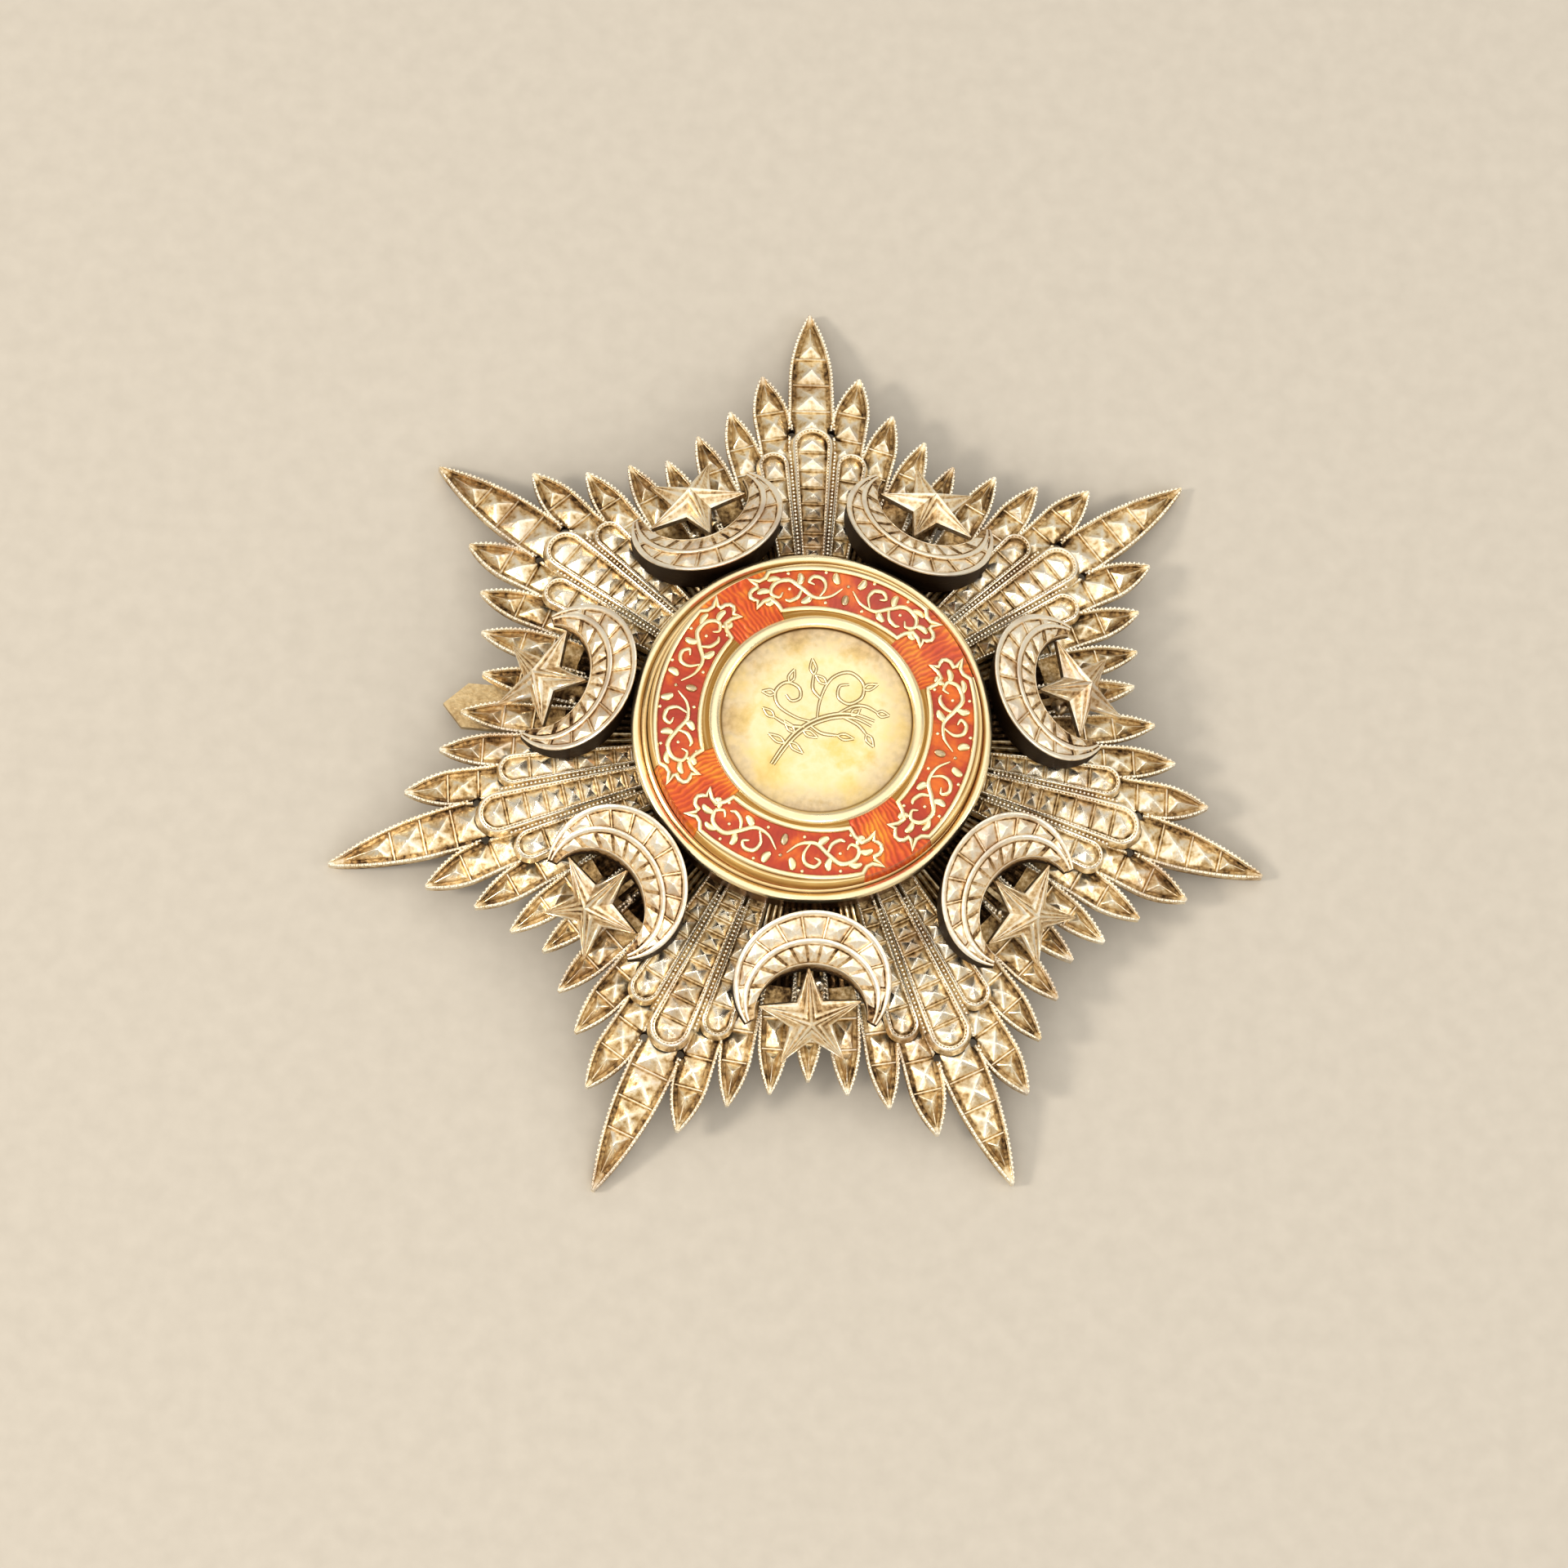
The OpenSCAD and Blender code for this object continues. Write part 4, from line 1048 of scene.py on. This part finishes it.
# The plate is painted near black as shade under the sprays
revolve(work, plate, [1.5] * 16, 144)
for k in range(SECTORS):
    spike = Metalwork()
    ray(spike, GAP_RAY, random.Random(400 + k), taper=4.8, first=3.6, pitch=2.6, root=21.5)
    work.join(spike, SECTOR * (k + 0.5))
for k in range(SECTORS):
    solder_drops(work, k, random.Random(500 + k))
finish_piece(work, "plate_with_short_rays", ["under_star"], ray_silver)
print("the plate with its short rays has", len(work.faces), "faces")

# %% [markdown]
# The medallion
#
# The case, the enamel, the inner ring and the disc are all turned on the axis. Their profiles have
# the rounded beads that catch the light as bright rings, and grooves between them painted dark as
# shade. The case itself was set a little to the left of the enamel, which the photograph shows as a
# rim that is wider on that side.

# %% Case and inner ring
CASE_SET_OFF = (0.3, 0.05, 0)


def arc(centre_r, centre_z, radius, start, stop, steps=7):
    """Points of a profile on a circle, from one angle to another."""
    return [(centre_r + radius * math.cos(math.radians(a)), centre_z + radius * math.sin(math.radians(a)))
            for a in np.linspace(start, stop, steps)]


work = Metalwork()
# The wall and its foot, the rim's bead, the flat gold band inside it and the floor
profile = [(8.0, CASE_Z - 3.2), (8.0, CASE_Z), (CASE_R - 0.3, CASE_Z), (CASE_R - 0.05, CASE_Z + 0.2),
           (CASE_R - 0.05, RIM_Z - 1.25), (CASE_R + 0.15, RIM_Z - 1.15), (CASE_R + 0.15, RIM_Z - 1.0),
           (CASE_R + 0.02, RIM_Z - 0.85)]
profile += arc(CASE_R - 0.1, RIM_Z - 0.44, 0.47, -30, 190, 17)[:-2]
profile += [(16.02, RIM_Z - 0.24), (15.78, RIM_Z - 0.12), (15.55, RIM_Z - 0.16), (15.5, RIM_Z - 1.5),
            (8.0, RIM_Z - 3)]
# The wall, its foot and the floor get a recess of 1 and more, painted shade
recess = [1.2] * 5 + [0.5, 0.4, 0.9] + [0.45, 0.3, 0.15] + [0.0] * 10
recess += [0.3, 0.7] + [0.9, 0.15, 0.5] + [1.0] * 2
revolve(work, profile, recess, 256)
work.points = [points - CASE_SET_OFF for points in work.points]
finish_piece(work, "case_with_rims", ["medallion_case"], rim_gold)

work = Metalwork()
ring_top = RIM_Z + RING_RISE
profile = [(9.0, CASE_Z + 1.3), (9.98, CASE_Z + 1.3), (10.1, ring_top - 1.1)]
profile += arc(9.58, ring_top - 0.55, 0.62, 0, 180, 17) + [(8.96, ring_top - 0.9)]
# The ring's foot and inner side are painted dark as shade
recess = [1.0, 1.0, 1.3] + [0.9, 0.4] + [0.0] * 12 + [0.4, 0.9, 1.2] + [1.2]
revolve(work, profile, recess, 256)
finish_piece(work, "bright_inner_ring", ["inner_ring"], rim_gold)
print("inner ring rises to", round(ring_top + 0.07, 2), "mm")

# %% [markdown]
# Frames on the enamel
#
# Four frames of gold wire divide the ring. Each was bent by hand to nearly the same plan: a slightly
# flattened arc on both sides and an end with two ears and a lobe. Between a frame and the rims the
# gold lies bare. Inside the frame a vine with leaves stands in gold, a common ornament of such work.
# Each stem is given as a few points and swept along a smooth curve through them, as drawn wire bends.

# %% Wires and curves
# A frame's end from its inner corner to the outer one: how far it stands out as a share of its
# length, and its share of the way from the inner wire to the outer one
FRAME_END = [(0.0, 0.0), (0.1, 0.2), (0.3, 0.37), (0.6, 0.36), (1.0, 0.27), (0.8, 0.42), (0.92, 0.48),
             (1.0, 0.57), (0.95, 0.66), (0.8, 0.72), (0.58, 0.73), (0.57, 0.8), (0.76, 1.0), (0.42, 0.86),
             (0.2, 0.88), (0.0, 1.0)]
# Middle and half the body's length in degrees, inner and outer radius
FRAMES = [(77.3, 30.0, 10.95, 15.12), (166.2, 30.3, 11.0, 15.16), (255.6, 31.0, 10.75, 15.1),
          (345.6, 31.6, 10.75, 15.05)]
END_DEGREES = 10.4
# A half-round wire's section: share of its half width, and of its height
HALF_ROUND = ((1, -0.1), (0.85, 0.5), (0.4, 0.92), (0, 1), (-0.4, 0.92), (-0.85, 0.5), (-1, -0.1))


def on_ring(r, a):
    return r * math.cos(math.radians(a)), r * math.sin(math.radians(a))


def frame_route(half, low, high):
    """Radius and angle along a frame's outline, from its own middle."""
    end = [(low + 0.12 + (high - low) * share, half + END_DEGREES * out) for out, share in FRAME_END]
    inner = [(low - 0.12 + 0.24 * (a / half) ** 2, a) for a in np.linspace(-half, half, 30)[1:-1]]
    outer = [(high - 0.12 + 0.24 * (a / half) ** 2, a) for a in np.linspace(half, -half, 34)[1:-1]]
    return inner + end + outer + [(r, -a) for r, a in reversed(end)]


def enamel_over(x, y):
    return enamel_z(math.hypot(x, y)) + 0.03


def curve(points, steps=7):
    """A smooth curve through a few points."""
    p = np.array([points[0]] + list(points) + [points[-1]], float)
    t = np.linspace(0, 1, steps, endpoint=False)[:, None]
    parts = []
    for a, b, c, d in zip(p, p[1:], p[2:], p[3:]):
        bend, twist = 2 * a - 5 * b + 4 * c - d, 3 * b - a - 3 * c + d
        parts.append(0.5 * (2 * b + (c - a) * t + bend * t**2 + twist * t**3))
    return np.vstack(parts + [p[-1:]])


def wire(work, flat, half, height, over, closed=False, taper=0.0, deep=None):
    """Half-round wire along (x, y) places over a surface, thinner at its ends by the taper."""
    flat = np.asarray(flat, float)
    n = len(flat)
    rows = []
    for i in range(n):
        ahead = flat[(i + 1) % n] if closed or i < n - 1 else flat[i]
        behind = flat[i - 1] if closed or i > 0 else flat[i]
        way = (ahead - behind) / max(np.linalg.norm(ahead - behind), 1e-6)
        swell = 1 - taper * (1 - math.sin(math.pi * i / (n - 1)) ** 0.7)
        side = np.array([-way[1], way[0]]) * half * swell
        places = [(*(flat[i] + side * share), up) for share, up in HALF_ROUND]
        rows.append([(x, y, over(x, y) + height * up * (0.4 + 0.6 * swell)) for x, y, up in places])
    # The wire's edges are painted dark as shade where it meets the surface
    recess = [deep] * 7 if deep else [1.0, 0.3, 0.0, 0.0, 0.0, 0.3, 1.0]
    work.grid(rows, recess, closed=closed, caps=not closed)


# %% Frames with their vines
# Curves of one half of the vine: half width, then places along the frame and across it
VINE = [
    (0.22, [(0.5, 0.1), (1.6, -0.9), (3.2, -1.05), (4.4, 0.0), (5.4, 0.95), (6.7, 0.85), (7.3, 0.0),
            (6.7, -0.6), (6.2, -0.2)]),
    (0.2, [(2.7, -1.05), (2.1, -0.1), (2.3, 0.8), (3.1, 1.1), (3.6, 0.6), (3.1, 0.25)]),
    (0.2, [(4.3, -0.05), (4.8, -0.9), (5.7, -1.2), (6.2, -0.95)]),
    (0.33, [(0.9, 0.5), (1.2, 1.0), (1.25, 1.6)]), (0.33, [(3.6, -0.9), (3.9, -1.3), (4.6, -1.55)]),
    (0.31, [(4.6, 0.3), (4.3, 0.9), (4.35, 1.5)]), (0.29, [(7.3, 0.2), (7.9, 0.5), (8.5, 0.45)]),
    (0.29, [(7.2, -0.4), (7.7, -0.9), (8.2, -0.8)]), (0.31, [(0.0, -0.5), (0.0, -1.0), (0.0, -1.55)]),
    (0.27, [(6.0, 1.0), (6.6, 1.4), (7.2, 1.35)])]
DOTS = [(0.0, 0.45), (2.1, 1.55), (5.5, 0.0), (5.3, 1.6), (2.0, -1.6), (6.9, -1.45)]
FRAME_WIRE = 0.26


def on_frame(level, middle, u, v):
    """A place u along a frame and v across it, counted from its own middle."""
    return on_ring(level + v, middle + math.degrees(u / level))


for k, (middle, half, low, high) in enumerate(FRAMES, start=1):
    work = Metalwork()
    outline = [on_ring(r, a + middle) for r, a in frame_route(half, low, high)]
    wire(work, outline, FRAME_WIRE, FRAME_WIRE, enamel_over, closed=True)
    level = (low + high) / 2 + 0.05
    for turn in (-1, 1):
        for width, places in VINE:
            stem = [on_frame(level, middle, turn * u, v) for u, v in curve(places)]
            wire(work, stem, 1.18 * width, 0.2, enamel_over, taper=0.7)
        dots = [on_frame(level, middle, turn * u, v) for u, v in DOTS]
        beads(work, [(x, y, enamel_over(x, y)) for x, y in dots], 0.2)
    # Bare gold inside and outside the frame: radii, how far out it stands, recess at each radius. The recess
    # paints shade on the ledges, darkest beside the raised inner ring
    spread = np.linspace(-half - 0.4, half + 0.4, 40)
    ledges = [([RING_R, (RING_R + low) / 2, low], 0.0, (1.8, 0.8, 1.2)),
              ([high + 0.1, SHOULDER_R, SHOULDER_R + 0.02, ENAMEL_R], 0.07, (0.9, 0.15, 0.3, 0.9))]
    for radii, out, recess in ledges:
        rows = [[(*on_ring(r + out, a + middle), enamel_z(r) + 0.04) for r in radii] for a in spread]
        work.grid(rows, recess)
    finish_piece(work, f"frame_{k}_with_vine", [f"cartouche_{k}"], wire_gold, crease=60)
print("curves in a vine:", 2 * len(VINE))

# %% [markdown]
# The field of enamel
#
# The enamel is one turned surface with fine steps round the ring. Each point is marked as inside a
# frame or outside it, and the material reads that mark for its two colours.

# %% Enamel field
turns, radii = np.arange(720) * 0.5, np.linspace(RING_R - 0.05, SHOULDER_R, 44)
# A point is inside a frame if a line out from it crosses the frame's outline an odd number of times
inside = np.zeros((len(turns), len(radii)))
for middle, half, low, high in FRAMES:
    off = ((turns - middle + 180) % 360 - 180)[:, None] + 0 * radii
    far = radii + 0 * off
    route = frame_route(half, low, high)
    for (r0, a0), (r1, a1) in zip(route, route[1:] + route[:1]):
        crossing = ((a0 > off) != (a1 > off)) & (far < r0 + (off - a0) * (r1 - r0) / (a1 - a0 + 1e-9))
        inside = np.where(crossing, 1 - inside, inside)
rows = [[(*on_ring(r, a), enamel_z(r)) for r in radii] + [(*on_ring(ENAMEL_R + 0.05, a), RIM_Z - 0.15)]
        for a in turns]
# The along value is measured on a circle of 13 mm, the middle of the ring
along = np.repeat(np.radians(turns)[:, None] * 13, len(radii) + 1, 1)
work = Metalwork()
work.grid(rows, np.hstack([inside, inside[:, -1:]]), closed=True, along=along, flip=True)
finish_piece(work, "enamel_field", ["enamel_ring"], enamel)
print("share of the ring inside the frames:", round(float(inside.mean()), 2))

# %% [markdown]
# The disc
#
# The disc is slightly domed and carries a generic flowering sprig, drawn with a double stem, curled
# tendrils and leaves. An engraver's line is a bright cut with dark edges, so each one is a thin raised
# wire with a painted highlight over a wider strip painted dark as the shade of the cut.

# %% Disc and sprig
DISC_EDGE = RIM_Z + RING_RISE - 0.55
DOME_R, DOME_RISE = 8.75, 0.4
# Stems and tendrils, as places in millimetres from the disc's middle
SPRIG = [
    [(-4.3, -4.4), (-3.2, -2.7), (-1.9, -1.2), (-0.2, -0.1), (1.8, 0.5), (3.6, 0.5), (5.4, -0.1)],
    [(-4.05, -4.5), (-2.9, -2.8), (-1.6, -1.4), (0.0, -0.4), (1.9, 0.15), (3.6, 0.1), (5.1, -0.6)],
    [(0.0, 0.0), (0.3, 1.9), (1.3, 3.9), (3.0, 4.6), (4.3, 3.6), (4.2, 2.2), (3.0, 1.5), (2.0, 2.1),
     (2.1, 3.2), (3.0, 3.4)],
    [(-0.5, -0.3), (-2.0, 0.1), (-3.6, 1.2), (-3.9, 2.6), (-2.9, 3.5), (-1.7, 3.0), (-1.6, 2.0),
     (-2.4, 1.7), (-2.9, 2.3)],
    [(1.9, 0.5), (3.4, 1.3), (4.6, 1.3), (5.7, 0.7)], [(2.4, 0.2), (3.8, -0.5), (4.6, -1.4)],
    [(-1.2, -0.8), (-2.6, -0.7), (-4.0, 0.1)], [(0.4, 1.9), (-0.4, 2.9), (-0.3, 4.3)],
    [(-0.6, -0.7), (0.4, -1.4), (1.9, -1.6)]]
# Leaves: where each starts, its direction in degrees and its length
LEAVES = [(-3.0, -2.4, 150, 1.8), (-2.6, -2.3, -40, 1.7), (-2.1, -1.4, 130, 1.5), (-1.3, -1.2, -25, 1.5),
          (-4.0, 0.1, 140, 1.4), (-0.3, 4.3, 95, 1.6), (1.9, -1.6, -10, 1.6), (4.6, -1.4, -60, 1.4),
          (5.6, 0.7, -10, 1.2), (0.9, 3.4, 140, 1.4), (4.3, 3.0, 20, 1.5), (-3.9, 2.4, 170, 1.3),
          (-2.6, 3.5, 70, 1.4), (3.2, 0.4, 40, 1.1)]


def disc_over(x, y):
    return DISC_EDGE + DOME_RISE * (1 - (x * x + y * y) / DOME_R**2)


def engrave(work, places, dark_half, line_half, line_height, dark_taper, line_taper):
    """A raised line with a painted highlight, and a strip painted dark as shade on either side of it."""
    wire(work, curve(places), dark_half, 0.02, disc_over, taper=dark_taper, deep=1.0)
    wire(work, curve(places), line_half, line_height, disc_over, taper=line_taper)


work = Metalwork()
profile = [(r, disc_over(r, 0)) for r in np.linspace(0.02, DOME_R, 14)]
profile += [(9.0, DISC_EDGE - 0.03), (9.0, CASE_Z + 1.4), (0.02, CASE_Z + 1.4)]
# The disc's edge and side are painted dark as shade under the inner ring
revolve(work, profile, [0.5] * 13 + [0.62, 1.1, 1.0, 1.0], 192)
for places in SPRIG:
    engrave(work, places, 0.2, 0.11, 0.09, 0.3, 0.4)
for x, y, degrees, length in LEAVES:
    way = np.array([math.cos(math.radians(degrees)), math.sin(math.radians(degrees))])
    across = np.array([-way[1], way[0]])
    start = np.array([x, y])
    for bulge in (-0.28, 0.28):
        places = [start, start + way * length * 0.4 + across * bulge, start + way * length]
        engrave(work, places, 0.16, 0.09, 0.08, 0.2, 0.3)
finish_piece(work, "domed_disc", ["centre_disc"], disc_gold)
print("lines in the sprig:", len(SPRIG) + 2 * len(LEAVES))

# %% [markdown]
# The back
#
# The cap, the brooch pin and the tab keep their CAD shapes, which are already what such pieces are:
# turned, drawn and cut. They get the plain silver finish, and so do the CAD solids that the finer
# pieces above stand for.

# %% Back pieces
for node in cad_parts.values():
    node.data.materials.clear()
    node.data.materials.append(back_silver)
print("CAD nodes in plain silver:", len(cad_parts))

# %% [markdown]
# Stage, light and camera
#
# The star lies on a plain pale floor. A small soft lamp from the left gives the warm light and the
# shadows to the right. Broader and weaker ones from behind, in front and the right keep the other
# flanks alive. The sky is bright overhead and dim halfway down, which polished metal needs: its facets
# then mirror light next to dark. The camera is where the photographer held it, about half a metre
# away with a long lens.

# %% Stage
bpy.ops.mesh.primitive_plane_add(size=3.0, location=(0, 0, 0))
floor = bpy.context.object
floor.name = "studio_floor"
paper, tree, shader = new_material("pale_paper")
place = add_node(tree, "ShaderNodeTexCoord").outputs["Object"]
# Fibres of 2 mm
fibre = add_node(tree, "ShaderNodeTexNoise", {"Scale": 1000 / 2.0, "Detail": 4.0}, {"Vector": place})
tone = add_node(tree, "ShaderNodeValToRGB", {"stops": [(0.3, "#bcb8b0"), (0.7, "#c2beb6")]},
                {"Fac": fibre.outputs["Fac"]})
tree.links.new(tone.outputs["Color"], shader.inputs["Base Color"])
shader.inputs["Roughness"].default_value = 0.9
floor.data.materials.append(paper)

# %% Lamps
# Place and diameter in metres, power in watts, colour
LAMPS = {"key_lamp": ((-0.6, -0.12, 0.5), 0.16, 2.8, "#fff1de"),
         "fill_lamp": ((0.3, 0.6, 0.7), 0.5, 0.9, "#f8f2ea"),
         "front_lamp": ((0.05, -0.68, 0.42), 0.32, 0.95, "#fff6ea"),
         "side_lamp": ((0.66, -0.16, 0.4), 0.32, 1.05, "#fff6ea")}
AIM = Vector((0, 0, 0.01))
for name, (place, size, watts, colour) in LAMPS.items():
    lamp = bpy.data.lights.new(name, "AREA")
    lamp.shape = "DISK"
    lamp.size = size
    lamp.energy = watts
    lamp.color = srgb(colour)[:3]
    holder = bpy.data.objects.new(name, lamp)
    bpy.context.scene.collection.objects.link(holder)
    holder.location = place
    holder.rotation_euler = (AIM - Vector(place)).to_track_quat("-Z", "Y").to_euler()
print("lamps:", len(LAMPS))

# %% Sky
world = bpy.data.worlds.new("soft_studio")
bpy.context.scene.world = world
world.use_nodes = True
tree = world.node_tree
direction = add_node(tree, "ShaderNodeTexCoord").outputs["Generated"]
towards = add_node(tree, "ShaderNodeVectorMath", {"operation": "DOT_PRODUCT", 1: (-0.1, -0.2, 0.97)},
                   {0: direction})
share = add_node(tree, "ShaderNodeMath", {"operation": "MULTIPLY_ADD", 1: 0.5, 2: 0.5},
                 {0: towards.outputs["Value"]})
sky = add_node(tree, "ShaderNodeValToRGB",
               {"stops": [(0.4, "#bdb5a9"), (0.57, "#b6aea2"), (0.67, "#7d7569"), (0.8, "#c6beb2"),
                          (0.9, "#ece5da"), (1.0, "#f5efe6")]}, {"Fac": share.outputs[0]})
background = tree.nodes["Background"]
tree.links.new(sky.outputs["Color"], background.inputs["Color"])
background.inputs["Strength"].default_value = 1.43
print("sky strength:", round(background.inputs["Strength"].default_value, 2))

# %% Camera
# Focal length in pixels of the photograph's width, fitted to the ray tips and the rims
FOCAL_PIXELS, PHOTO_PIXELS, SENSOR = 6717.8, 1920, 36.0
camera_data = bpy.data.cameras.new("photo_camera")
camera = bpy.data.objects.new("photo_camera", camera_data)
bpy.context.scene.collection.objects.link(camera)
camera_data.sensor_width = SENSOR
camera_data.lens = SENSOR * FOCAL_PIXELS / PHOTO_PIXELS
camera_data.clip_start = 0.01
camera_data.clip_end = 20.0
look = Vector((0.0563, 0.2655, -0.9625)).normalized()
up = Vector((-0.0197, 0.9641, 0.2648))
right = look.cross(up).normalized()
up = right.cross(look).normalized()
stand = Vector((-31.78, -141.79 + AXIS_Y, 507.13 + 0.4)) / 1000
camera.matrix_world = Matrix.Translation(stand) @ Matrix((right, up, -look)).transposed().to_4x4()
bpy.context.scene.camera = camera
bpy.context.scene.view_settings.view_transform = "Standard"
print("camera", [round(v * 1000, 1) for v in stand], "lens", round(camera_data.lens, 2))
